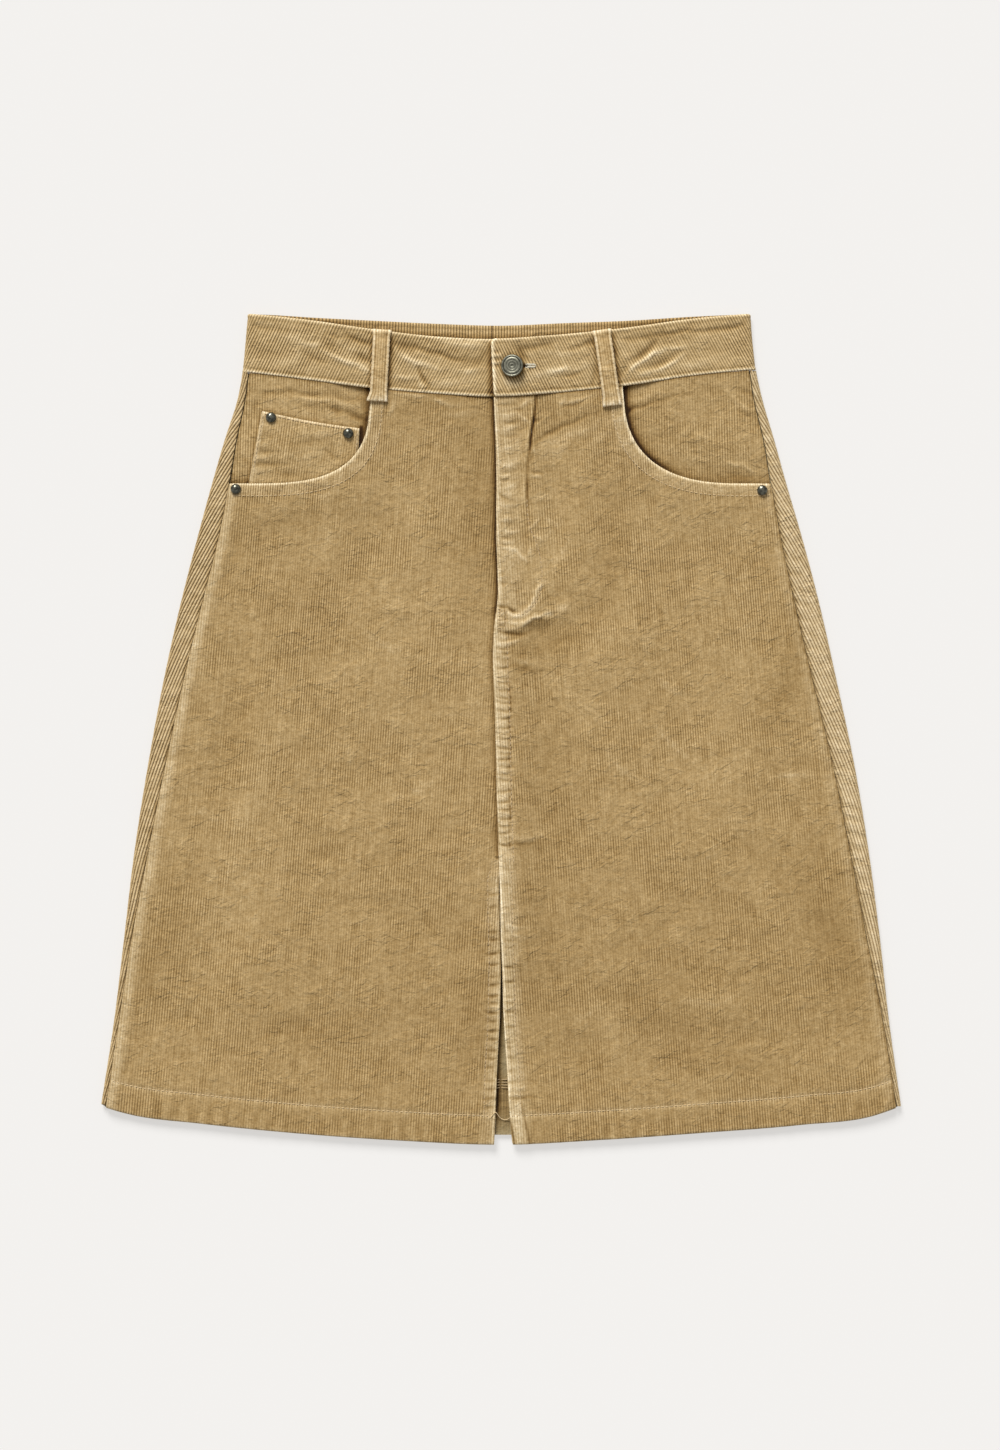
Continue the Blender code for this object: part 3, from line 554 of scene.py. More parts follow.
fine = wale_lines(172.0, 304.0, BACK_WALE)
middle = wale_lines(-16.0, 16.0, BACK_WALE)
coarse = np.arange(-243, 244, 9)
back_steps = np.unique(np.concatenate((-fine, coarse[np.abs(coarse) > 23], middle, fine)))
back = woven(
    "skirt_back", back_steps, lambda u, r: u + 0.0 * r, back_inside, back_outer, back_inner,
    (0.0, 548.0), np.arange(0.0, 560.0, 2.0),
    lambda a, r: (r % 8.0 == 0.0) | near_fold(a, r) | (np.abs(r - HEM_TURN) < 3.0),
    lambda a, r: ((r % 16.0 == 0.0) | (near_fold(a, r) & (r % 4.0 == 0.0))
                  | (np.abs(r - HEM_TURN - 1.0) < 2.5)),
    # Paler round the side folds: partly wear, partly painted highlight.
    paint_wear_and_highlight=lambda a, r: np.where(near_fold(a, r), np.where(a < 0.0, 0.30, 0.55), 0.0),
    shade=back_shade, pitch=BACK_WALE,
    inner_sink=lambda a, r: np.where((np.abs(a) < 20.0) & (r < 33.0) & (r > 12.0), 0.3, 0.0),
    plain=lambda a, r: 0.5 + 0.5 * (ease((r - 33.0) / 3.0) + 1.0 - ease((r - 11.0) / 2.0)),
    crush=lambda a, r, flat: np.where(near_fold(a, r), 0.6 * flat - 0.8, flat),
)
dress(back, "back", material=back_cord)


# ------------------------------------------------------------------ zip
# A closed coil zip sewn behind the fly: two woven tapes with their edges meeting under a spiral of
# plastic teeth. The right front hides all of it.
ZIP_LEFT, ZIP_RIGHT, ZIP_LOW, ZIP_HIGH = -11.0, 17.0, 92.0, 233.0
ZIP_MIDDLE, TAPE_UNDER, TAPE_OVER, TAPE_APART = 3.0, 1.75, 2.35, 0.3
COIL_PITCH, COIL_OUT, COIL_UP, COIL_THREAD = 1.5, 0.9, 0.42, 0.24


def grid_solid(name, outer, inner):
    """A closed sheet between two grids of points."""
    rows, columns = outer.shape[:2]
    count = rows * columns
    index = np.arange(count).reshape(rows, columns)
    faces = []
    for i in range(rows - 1):
        for j in range(columns - 1):
            quad = [index[i, j], index[i, j + 1], index[i + 1, j + 1], index[i + 1, j]]
            faces.append(quad)
            faces.append([v + count for v in quad[::-1]])
    rim = [(0, j) for j in range(columns)] + [(i, columns - 1) for i in range(1, rows)]
    rim += [(rows - 1, j) for j in range(columns - 2, -1, -1)] + [(i, 0) for i in range(rows - 2, 0, -1)]
    for (i, j), (k, m) in zip(rim, rim[1:] + rim[:1]):
        faces.append([index[k, m], index[i, j], index[i, j] + count, index[k, m] + count])
    co = np.concatenate((outer.reshape(-1, 3), inner.reshape(-1, 3)))
    return solid(name, co, faces, 45.0)


def lengthwise(name, parts, sharp=60.0):
    """Several closed solids joined in one object, each given as its points and faces."""
    co, faces, base = [], [], 0
    for part_co, part_faces in parts:
        co.append(part_co)
        faces += [[v + base for v in face] for face in part_faces]
        base += len(part_co)
    return solid(name, np.concatenate(co), faces, sharp)


def tube(path, radii, ups, sides=6):
    """A closed thread through points, pinched where its radius is small."""
    path, radii = np.asarray(path, float), np.asarray(radii, float)
    along = np.gradient(path, axis=0)
    along /= np.linalg.norm(along, axis=1)[:, None]
    across = np.cross(along, ups)
    across /= np.linalg.norm(across, axis=1)[:, None]
    up = np.cross(across, along)
    turn = np.arange(sides) * 2.0 * math.pi / sides
    co = (path[:, None, :] + radii[:, None, None] * (across[:, None, :] * np.cos(turn)[None, :, None]
          + up[:, None, :] * np.sin(turn)[None, :, None])).reshape(-1, 3)
    faces = []
    for i in range(len(path) - 1):
        for k in range(sides):
            m = (k + 1) % sides
            faces.append([i * sides + k, i * sides + m, (i + 1) * sides + m, (i + 1) * sides + k])
    faces.append(list(range(sides))[::-1])
    faces.append([(len(path) - 1) * sides + k for k in range(sides)])
    return co, faces


def woven_tape(name, light, dark):
    material, shader, node, feed, number, tinted, speckle, bumped = start_material(name, Roughness=0.78)
    where = node("ShaderNodeTexCoord").outputs["Object"]
    wave = node("ShaderNodeTexWave", bands_direction="DIAGONAL")
    for key, value in (("Scale", 420.0), ("Distortion", 0.4), ("Vector", where)):
        feed(wave.inputs[key], value)
    share = number("MULTIPLY", wave.outputs[1], speckle(where, 900.0))
    feed(shader.inputs["Base Color"], tinted(share, dark, light))
    bumped(share, 0.5, 0.0003)
    return material


tape_cloth = woven_tape("zip_tape", (0.50, 0.36, 0.19), (0.30, 0.20, 0.10))
tapes = []
for name, left, right in (("zip_tape_left", ZIP_LEFT, ZIP_MIDDLE - TAPE_APART),
                          ("zip_tape_right", ZIP_MIDDLE + TAPE_APART, ZIP_RIGHT)):
    x, y = np.meshgrid(np.linspace(left, right, 8), np.linspace(ZIP_LOW, ZIP_HIGH, 48))
    wave = 0.06 * np.sin(y / 3.1 + left)
    tapes.append(grid_solid(name, points(x, y, TAPE_OVER + wave), points(x, y, TAPE_UNDER + wave)))
tape_left, tape_right = tapes
turns = []
for tooth in range(int((ZIP_HIGH - ZIP_LOW - 4.0) / COIL_PITCH)):
    y = ZIP_LOW + 2.0 + COIL_PITCH * tooth
    for side in (-1.0, 1.0):
        swing = np.linspace(-0.35 * math.pi, 1.35 * math.pi, 6)
        path = points(ZIP_MIDDLE + side * COIL_OUT * np.cos(swing), y + 0.18 * swing * side,
                      2.9 + COIL_UP * np.sin(swing))
        turns.append(tube(path, np.full(6, COIL_THREAD), np.array([[0.0, 1.0, 0.2]]), 5))
teeth = lengthwise("zip_teeth", turns)
dress(tape_left, "fly_zip", material=tape_cloth, slot="zip")
dress(tape_right, material=tape_cloth, slot="zip")
dress(teeth, material=woven_tape("zip_coil", (0.46, 0.33, 0.17), (0.34, 0.23, 0.11)), slot="zip")


# ------------------------------------------------------------------ pocket bearers
# The hip piece of each jeans pocket, of the same corduroy. It shows in the mouth and runs on under
# the front; its upper edge is caught in the waistband and its side edge in the side seam.
MOUTH_BOTTOM = 176.4
BEARER_UNDER = 15.0
BEARER_LEAN, COIN_LEAN = 1.7, 8.0
POCKETS = {-1: (-180.4, 86.4, 3.0), 1: (173.9, 85.7, 2.6)}
BEARER_FOLDS = (
    # x, y, heading, half length, half width, height
    (-165, 241.5, 0, 16, 1.7, -0.6), (-138, 240, -5, 14, 1.8, -0.8), (-112, 237, -10, 9, 1.9, -0.6),
    (-132, 236.3, -6, 14, 1.6, 0.6), (-160, 237, 0, 10, 2.0, 0.2), (-137, 231.5, -4, 9, 1.7, -0.5),
    (-118, 229, -16, 9, 1.9, -1.0), (-104, 224.5, -22, 7, 2.3, -1.2), (-112, 233, -12, 8, 1.6, 0.5),
    (-184, 205, 82, 16, 2.5, 0.3), (-176, 232, 60, 8, 2.2, -0.3), (92.5, 229.5, 25, 4, 1.8, -1.2),
    (104, 232.5, 18, 8, 1.3, -0.8), (118, 237, 18, 8, 1.4, -0.6), (130, 240, 8, 8, 1.6, -0.4),
    (103, 238, 20, 10, 2.4, 0.45), (150, 243, 0, 10, 3.0, -0.35), (170, 235, -38, 12, 1.8, 0.55),
    (176, 242, -20, 6, 2.0, -0.5), (168, 190, -10, 8, 1.5, 0.6), (178, 187, -35, 6, 1.4, 0.5),
    (172, 181, -5, 10, 2.2, -0.8), (157, 181, -15, 5, 1.6, -0.45), (176, 226, -30, 8, 1.7, -0.4),
    (135, 196, -20, 14, 3.0, 0.3), (115, 210, 15, 12, 3.0, -0.3), (150, 214, 30, 14, 3.2, 0.25),
)


def mouth_shape(side, grow=0.0):
    centre_x, half_x, power = POCKETS[side]
    top = float(edge("waist", centre_x - side * half_x)) - GAP
    return centre_x, top, half_x + grow, top - MOUTH_BOTTOM + grow, power


def mouth_distance(side, x, y):
    """About how far a point lies outside the pocket mouth; inside it is negative."""
    centre_x, top, half_x, half_y, power = mouth_shape(side)
    u = np.maximum((centre_x - x) * side / half_x, 0.0)
    v = np.maximum((top - y) / half_y, 0.0)
    return ((u**power + v**power) ** (1.0 / power) - 1.0) * half_y


def within_grown_mouth(side, grow, x, y):
    centre_x, top, half_x, half_y, power = mouth_shape(side, grow)
    u = np.maximum((centre_x - x) * side / half_x, 0.0)
    v = np.maximum((top - y) / half_y, 0.0)
    return (1.0 - (u**power + v**power) ** (1.0 / power)) * half_y


def creases(table, x, y):
    """Height added by soft ridges and troughs, each a little bowed."""
    total = np.zeros(np.shape(x))
    for at_x, at_y, heading, half_length, half_width, height in table:
        turn = math.radians(heading)
        near = (np.abs(x - at_x) < 2.6 * half_length + 2.6 * half_width) & (
            np.abs(y - at_y) < 2.6 * half_length + 2.6 * half_width)
        dx, dy = x[near] - at_x, y[near] - at_y
        along = dx * math.cos(turn) + dy * math.sin(turn)
        aside = dy * math.cos(turn) - dx * math.sin(turn) - 0.12 * along**2 / half_length
        total[near] += height * np.exp(-((along / half_length) ** 2) - (aside / half_width) ** 2)
    return total


def bearer_high(side, x, y):
    inside = -mouth_distance(side, x, y)
    high = blend(3.2, fold_high(y) - 0.2, ease((inside - 3.0) / 26.0))
    return high + creases(BEARER_FOLDS, x, y) * ease((inside - 1.0) / 5.0)


COIN_TOP = ((-171.7, 228.4), (-101.5, 216.1))
COIN_FOOT = (-181.4, -103.7)


def coin_sides(y):
    """x of the coin pocket's two side edges."""
    down_left = (COIN_TOP[0][1] - y) / 52.0
    down_right = (COIN_TOP[1][1] - y) / 36.0
    return (blend(COIN_TOP[0][0], COIN_FOOT[0], down_left),
            blend(COIN_TOP[1][0], COIN_FOOT[1], down_right))


def coin_top(x):
    share = (x - COIN_TOP[0][0]) / (COIN_TOP[1][0] - COIN_TOP[0][0])
    return blend(COIN_TOP[0][1], COIN_TOP[1][1], share) - 1.2 * np.sin(math.pi * np.clip(share, 0.0, 1.0))


def to_seam(side, x, y):
    """How far a point lies in from the side seam."""
    return side * (level("seam_" + side_name(side), y) - x)


# Painted shade on the bearers: shadow inside the mouth under the front's edge, under the waistband, round
# the coin pocket and in the side seam, and painted highlights and shade on the creases.
def bearer_shade(side, x, y):
    inside = -mouth_distance(side, x, y)
    steep = ease((y - 178.0) / 14.0) if side > 0 else 0.35 + 0.4 * ease((y - 202.0) / 8.0)
    dark = (0.34 + 0.60 * steep) * np.exp(-np.maximum(inside - 1.6, 0.0) / 2.2)
    dark = dark + 0.40 * hump(edge("waist", x) - y, 1.4)
    if side < 0:
        left, right = coin_sides(y)
        below = np.where((x > left - 6.0) & (x < right + 6.0), coin_top(x) + 2.0 - y, -9.0)
        beside = np.maximum(left - x, x - right)
        outline = hump(np.maximum(beside, y - coin_top(x)) - 0.8, 1.3) * ease((below + 4.0) / 4.0)
        dark = dark + (0.30 + 0.55 * ease((x - right + 1.0) / 1.0)) * outline
    dark = dark - np.clip(0.42 * creases(BEARER_FOLDS, x, y), -0.5, 0.3)
    from_seam = to_seam(side, x, y)
    dark = dark + (0.12 + 0.25 * ripple(y, 6.0, 2.0)) * hump(from_seam - 1.0, 1.4)
    return np.clip(dark - (0.08 if side < 0 else 0.03), -0.3, 0.92)


bearer_cord = corduroy("corduroy_bearers", PILE, GROOVE, PALE_WEAR_AND_HIGHLIGHT, seed=5.0)


def bearer(side):
    lean = math.tan(math.radians(BEARER_LEAN)) * -side
    def inside(x, y):
        seam = to_seam(side, x, y) - 0.6
        return np.minimum(np.minimum(seam, edge("waist", x) - GAP - y),
                          within_grown_mouth(side, BEARER_UNDER, x, y))
    def outer(x, y, sink):
        seam = to_seam(side, x, y)
        return points(x, y, bearer_high(side, x, y) - sink - rolled(seam, 0.5, 1.5))
    def inner(x, y, sink):
        return points(x, y, bearer_high(side, x, y) - CLOTH)
    steps = np.sort(side * wale_lines(66.0, 204.0)) if side > 0 else wale_lines(-204.0, -66.0)
    piece = woven("pocket_bearer_" + side_name(side) + "_cloth", steps,
                  lambda u, y: u + lean * (y - 210.0), inside, outer, inner, (150.0, 262.0),
                  np.arange(150.0, 262.0, 1.25), lambda x, y: y > 0.0, lambda x, y: y % 10.0 == 0.0,
                  shade=lambda x, y, outside: bearer_shade(side, x, y))
    return dress(piece, "pocket_bearer_" + side_name(side), material=bearer_cord)


for side in (-1, 1):
    bearer(side)


# ------------------------------------------------------------------ coin pocket
# A small patch pocket of the same corduroy on the left bearer. Its top and sides are turned in and
# stitched once, and its foot is caught under the front at the pocket's mouth.
def coin_inside(x, y):
    left, right = coin_sides(y)
    return np.minimum(np.minimum(x - left, right - x),
                      np.minimum(coin_top(x) - y, within_grown_mouth(-1, 5.0, x, y)))


COIN_FOLDS = (
    # x, y, heading, half length, half width, height
    (-168, 210, 4, 6, 1.4, -0.5), (-168, 199, 0, 6, 1.4, -0.5), (-169, 190, -3, 8, 1.4, -0.6),
    (-171, 204.5, 0, 5, 1.6, 0.45), (-171, 194.5, 4, 5, 1.6, 0.5), (-172, 185, -6, 6, 1.6, 0.5),
    (-160, 190, -4, 9, 1.4, -0.35), (-152, 183, -10, 9, 2.4, -0.5), (-118, 195, -24, 9, 1.8, -0.5),
    (-112, 192, -30, 6, 1.4, 0.4), (-136, 206, 12, 16, 3.0, -0.3), (-126, 212, 6, 14, 3.0, 0.3),
    (-140, 196, 20, 12, 3.0, 0.25), (-111, 207, -5, 5, 1.2, -0.4),
)


def coin_puckers(x, y):
    left_edge = 0.16 * ripple(y, 7.4, 2.0) * hump(x - coin_sides(y)[0] - 4.0, 4.5)
    top_edge = 0.08 * ripple(x, 6.1, 2.0) * hump(coin_top(x) - y - 3.0, 3.0)
    return left_edge + top_edge + creases(COIN_FOLDS, x, y)


def coin_high(x, y):
    high = bearer_high(-1, x, y) + GAP + CLOTH
    from_top = coin_top(x) - y
    high = high + 0.3 * hump(from_top - 2.0, 3.0) + 0.4 * hump(x - coin_sides(y)[0] - 3.5, 3.5)
    return high + coin_puckers(x, y) - 0.15 * hump(from_top - 1.8, 0.8)


def coin_outer(x, y, sink):
    left, right = coin_sides(y)
    free = np.minimum(np.minimum(x - left, right - x), coin_top(x) - y)
    return points(x, y, coin_high(x, y) - sink - rolled(free, 0.7, 1.3))


# Pale turned edges: partly wear, partly painted highlight.
def coin_wear_and_highlight(x, y):
    left, right = coin_sides(y)
    return (0.62 * hump(coin_top(x) - y - 0.4, 1.0) + 0.3 * hump(x - left - 1.5, 2.2)
            + 0.3 * hump(right - x - 1.0, 1.2))


# Painted light and dark on the puckers, painted shade in the left stitch line and at the foot under the
# front, and a painted highlight below the top edge.
def coin_shade(x, y, outside):
    left = coin_sides(y)[0]
    dark = -0.12 - 0.50 * np.clip(coin_puckers(x, y), -0.9, 0.6)
    dark = dark + 0.22 * hump(x - left - 3.6, 0.8) * (0.6 + 0.5 * ripple(y, 4.0, 1.0))
    dark = dark - 0.12 * hump(coin_top(x) - y - 0.8, 0.9)
    foot = np.exp(-np.maximum(-mouth_distance(-1, x, y), 0.0) / 1.5)
    return dark + (0.30 + 0.15 * ease((x + 122.0) / 10.0)) * foot


coin = woven(
    "coin_pocket_cloth", wale_lines(-188.0, -92.0),
    lambda u, y: u + math.tan(math.radians(COIN_LEAN)) * (y - 205.0), coin_inside, coin_outer,
    lambda x, y, sink: points(x, y, coin_high(x, y) - CLOTH), (160.0, 232.0),
    np.arange(160.0, 232.0, 1.25), lambda x, y: y > 0.0, lambda x, y: y % 10.0 == 0.0,
    paint_wear_and_highlight=coin_wear_and_highlight, shade=coin_shade,
    crush=lambda x, y, flat: np.clip(0.6 * flat + hump(x - coin_sides(y)[0] - 3.0, 4.0), 0.0, 1.0),
)
dress(coin, "coin_pocket", material=bearer_cord)


# ------------------------------------------------------------------ fronts
# Two fronts with their wales leaning to the centre. The hem is turned up once, the slit edges are
# turned and stitched, the right front laps over the left with a felled seam above the slit, and its
# fly is stitched in a J. The pocket mouths are turned in and stitched round.
SLIT_TURN, SEAM_TURN, FLY_FACING, FLY_BOTTOM, SLIT_TOP, UNDERLAP = 8.6, 13.0, 23.0, 83.0, -98.0, 9.0
MOUTH_STITCH, FELL_STITCH, FLAP_HIGH = 8.8, 10.6, 34.0
CENTRE_FRONT = np.array((
    # y, x of the right front's edge, space left to the left front's edge
    (-299, 8.2, 13.0), (-276, 5.9, 9.4), (-247, 4.6, 7.6), (-216, 2.0, 2.8), (-183, 1.2, 1.3),
    (-168, 0.6, 0.5), (-155, 0.1, 0.25), (-108, -1.0, 0.2), (-97, -1.4, -4.0), (-79, -2.1, -9.0),
    (0, -4.0, -9.0), (72, -5.0, -9.0), (94, -2.4, -9.0), (134, -3.4, -9.0), (199, -3.6, -9.0),
    (239, -5.4, -9.0),
), float)
FOLDS = (
    # x, y, heading, half length, half width, height
    (20, 93, 38, 26, 7, 1.1), (46, 72, 28, 34, 9, -0.9), (82, 58, 48, 42, 16, 0.7),
    (78, 150, 88, 60, 14, -0.7), (58, 150, 84, 60, 11, 0.6), (120, 20, 110, 70, 20, -0.6),
    (160, -50, 60, 60, 24, 0.7), (226, -80, 105, 80, 16, -0.8), (150, -196, 172, 30, 12, 0.8),
    (70, -150, 112, 70, 18, 0.7), (60, -236, 100, 40, 14, -0.6), (-60, 150, 78, 66, 20, 0.7),
    (-100, 120, 60, 50, 16, -0.6), (-190, 20, 80, 80, 12, -0.8), (-176, -30, 82, 90, 13, 0.8),
    (-110, -40, 20, 70, 16, -0.5), (-90, 30, 35, 70, 18, 0.6), (-206, -150, 72, 60, 18, -0.7),
    (-176, -170, 70, 60, 18, 0.7), (-100, -190, 110, 50, 16, 0.6), (-66, -140, 150, 50, 14, -0.6),
    (-40, -226, 55, 40, 16, 0.6),
)
SHARP_FOLDS = (
    # x, y, heading, half length, half width, height
    (-62, 239.3, -3, 12, 1.5, 0.55), (-44, 235.5, -25, 9, 1.5, 0.6), (-48, 238.6, -12, 8, 1.4, -0.5),
    (-78, 232, 70, 10, 2.2, 0.35), (-86, 222, 62, 12, 2.4, -0.3), (-30, 226, 6, 12, 2.2, 0.25),
    (54, 235.5, 12, 10, 1.5, 0.6), (44, 235, 55, 4, 1.4, 0.4), (51, 232.3, 12, 8, 1.4, -0.45),
    (28, 208, 33, 7, 1.4, -0.55), (38, 214, 26, 9, 1.5, -0.7), (53, 220.5, 24, 10, 1.5, -0.65),
    (67, 226, 18, 7, 1.6, -0.4), (42, 208, 24, 12, 2.4, 0.35), (60, 214, 22, 12, 2.4, 0.3),
    (40, 199, 25, 10, 2.6, 0.35), (58, 205, 25, 8, 1.9, -0.4), (68, 208, 30, 10, 2.4, 0.35),
    (26, 221.5, 10, 3.5, 1.4, -0.65), (29, 229, 70, 5, 2.4, -0.4), (25, 184, 0, 5, 1.1, -0.55),
    (25, 181.5, 0, 5, 1.2, 0.4), (24, 200, 15, 4, 1.6, 0.45), (22.5, 195.5, 70, 3, 1.1, -0.5),
    (31, 166, 20, 6, 1.6, 0.3), (36, 149, -30, 6, 1.6, 0.35), (24, 147, 50, 5, 1.4, 0.4),
    (20.5, 127, 70, 4, 1.3, 0.45), (27, 137, -10, 4, 1.4, 0.35), (45, 128, 60, 8, 1.5, 0.35),
    (36, 95, 25, 8, 1.3, -0.35), (86, 222, 12, 9, 1.6, 0.3), (82, 228, 3, 8, 1.6, -0.35),
    (92, 207, 40, 10, 2.0, 0.3), (20, 44, -4, 16, 1.4, -0.6), (18, 31.5, -12, 8, 1.2, -0.45),
    (22, 47.5, -3, 12, 2.0, 0.35), (15, 53, 38, 5, 1.2, -0.4), (16, -83, -3, 12, 1.2, -0.6),
    (17, -79, -6, 12, 1.8, 0.3), (9, -142, -14, 8, 1.3, 0.5), (8, -146, -12, 8, 1.2, -0.4),
    (14, -149, -20, 8, 1.6, 0.3), (14, -265.3, 4, 8, 1.3, -0.5), (12, -258, 10, 6, 1.5, 0.3),
    (62, -205, 30, 10, 1.8, 0.3), (150, -196, 6, 16, 2.0, 0.4), (158, -192, 10, 12, 1.6, -0.35),
    (120, 30, -35, 14, 1.8, 0.3), (124, -12, -42, 16, 1.8, 0.35), (88, -30, -38, 14, 1.8, 0.3),
    (205, -28, 8, 16, 1.8, -0.35), (210, -34, 6, 14, 1.8, 0.35), (196, 20, 30, 14, 2.0, -0.3),
    (-150, 164, -8, 9, 1.8, -0.4), (-158, 157, -14, 8, 1.6, 0.35), (-118, 158, 60, 7, 1.8, -0.3),
    (-128, 168, 10, 10, 1.8, 0.3), (-225, 62, -20, 9, 1.8, 0.35), (-236, -20, 12, 10, 1.7, -0.35),
    (-208, 100, 4, 8, 1.5, -0.35), (-210, -62, -18, 12, 1.8, 0.35), (-246, -74, -20, 8, 1.6, -0.35),
    (-60, -44, 24, 14, 2.0, 0.3), (-120, -86, 16, 16, 2.0, -0.3), (-84, 60, -28, 14, 2.0, 0.3),
)
# Broad patches of the fronts, painted darker or lighter.
TONE_PATCHES = (
    (130, -190, 10, 150, 110, 0.11), (-110, -215, 0, 140, 90, 0.075),
    # x, y, heading, half length, half width, darker by
    (-159, 147, 5, 40, 16, 0.10), (-188, -1, 80, 43, 16, 0.10), (-177, -51, 75, 65, 12, -0.08),
    (-235, -138, 70, 43, 14, 0.11), (-202, -152, 60, 50, 19, -0.08), (-181, -109, 0, 43, 12, -0.06),
    (-19, -217, 85, 43, 12, 0.10), (-19, 165, 90, 86, 12, 0.13), (-125, 140, 80, 25, 6, -0.10),
    (-66, 154, 100, 29, 7, -0.08), (-148, 93, 20, 29, 12, 0.06), (-253, -195, 80, 36, 13, 0.08),
    (-58, 230, 15, 36, 10, 0.11), (82, 136, 85, 43, 10, 0.11), (99, 140, 85, 36, 6, -0.08),
    (24, 100, 70, 36, 9, -0.13), (35, 136, 100, 29, 10, -0.08), (84, 75, 48, 27, 6, -0.14),
    (35, 60, 20, 26, 9, 0.22), (21, 42, 0, 13, 3, 0.19), (32, -8, 100, 43, 16, 0.11),
    (42, -66, 110, 43, 14, 0.10), (51, 24, -35, 22, 4, -0.11), (66, 12, -38, 19, 3, -0.10),
    (201, 21, 75, 58, 13, 0.10), (176, 78, 90, 29, 10, -0.08), (165, -30, 30, 36, 13, -0.08),
    (136, -152, -30, 36, 6, -0.10), (240, -152, 110, 65, 20, 0.16), (156, -194, 5, 18, 7, -0.14),
    (118, -210, 150, 29, 10, 0.11), (78, -210, 120, 29, 10, -0.10), (28, -138, 100, 43, 12, 0.10),
    (165, -238, 170, 43, 9, 0.10), (194, -130, 120, 43, 12, -0.06), (24, -84, 0, 14, 4, 0.16),
    (32, -73, 20, 13, 4, -0.13), (-19, -86, 0, 13, 2, -0.13), (136, -188, 20, 22, 4, 0.11),
    (216, 50, 75, 60, 16, 0.08), (100, 20, 75, 70, 30, 0.035),
)
SMALL_FOLD_COUNT = 420
draw = np.random.default_rng(14)
SMALL_FOLDS = tuple(
    (draw.uniform(-270, 270), draw.uniform(-270, 235),
     draw.normal(0, 38) if draw.random() < 0.7 else draw.uniform(45, 135),
     draw.uniform(7, 20), draw.uniform(2.8, 5.0), draw.choice((-1, 1)) * draw.uniform(0.18, 0.52))
    for _ in range(SMALL_FOLD_COUNT))


def centre_edge(side, y):
    right = through(CENTRE_FRONT[:, 0], CENTRE_FRONT[:, 1], np.asarray(y, float))
    if side > 0:
        return right
    return right - np.interp(y, CENTRE_FRONT[:, 0], CENTRE_FRONT[:, 2])


def front_shape(side, x, y):
    """Distances of a point from the five edges of a front."""
    return (y - edge("hem", x), edge("waist", x) - GAP - y,
            to_seam(side, x, y) - GAP / 2.0,
            mouth_distance(side, x, y), (x - centre_edge(side, y)) * side)


def front_high(side, x, y):
    """Height of a front's outer face, with its folds, stitched edges and puckers."""
    from_hem, from_waist, from_seam, from_mouth, from_centre = front_shape(side, x, y)
    lie = blend(6.0, 4.9, ease((from_hem - HEM_TURN - 1.5) / 50.0))
    lie = blend(5.9, lie, ease(from_waist / 40.0))
    quiet = ease(from_hem / 45.0) * ease(from_waist / 30.0) * ease((from_seam - 4.0) / 26.0)
    quiet = quiet * ease((from_mouth - 12.0) / 20.0)
    lie = blend(fold_high(y), lie, ease(from_seam / 36.0))
    raised = np.exp(-((np.maximum(from_mouth - 6.0, 0.0) / 22.0) ** 2)) * ease(from_seam / 14.0)
    lie = blend(lie, 6.7, raised)
    above_slit = ease((y - SLIT_TOP + 104.0) / 80.0)
    beside_slit = blend(lie, 5.2, ease((from_hem - HEM_TURN) / 60.0))
    if side > 0:
        facing = blend(SEAM_TURN, FLY_FACING, ease((y - FLY_BOTTOM + 14.0) / 12.0))
        centre = blend(beside_slit, 7.65, above_slit)
        away = ease((from_centre - facing) / 22.0)
    else:
        centre = blend(beside_slit, 4.5, ease((y - SLIT_TOP + 90.0) / 60.0))
        away = ease((from_centre - UNDERLAP - 4.0) / 30.0)
    high = blend(centre, lie, away) + 1.25 * creases(FOLDS, x, y) * quiet * away
    small = ease(from_hem / 24.0) * ease(from_waist / 10.0) * ease(from_seam / 14.0)
    small = small * ease(from_mouth / 14.0)
    high = high + creases(SMALL_FOLDS, x, y) * small * (0.35 + 0.65 * away)
    high = high + creases(SHARP_FOLDS, x, y) * ease(from_waist / 2.0)
    high = high + front_sewing(side, x, y, from_hem, from_waist, from_seam, from_mouth, from_centre)
    return np.where(high < 4.1, 3.3 + 0.8 * np.exp((np.minimum(high, 4.1) - 4.1) / 0.8), high)


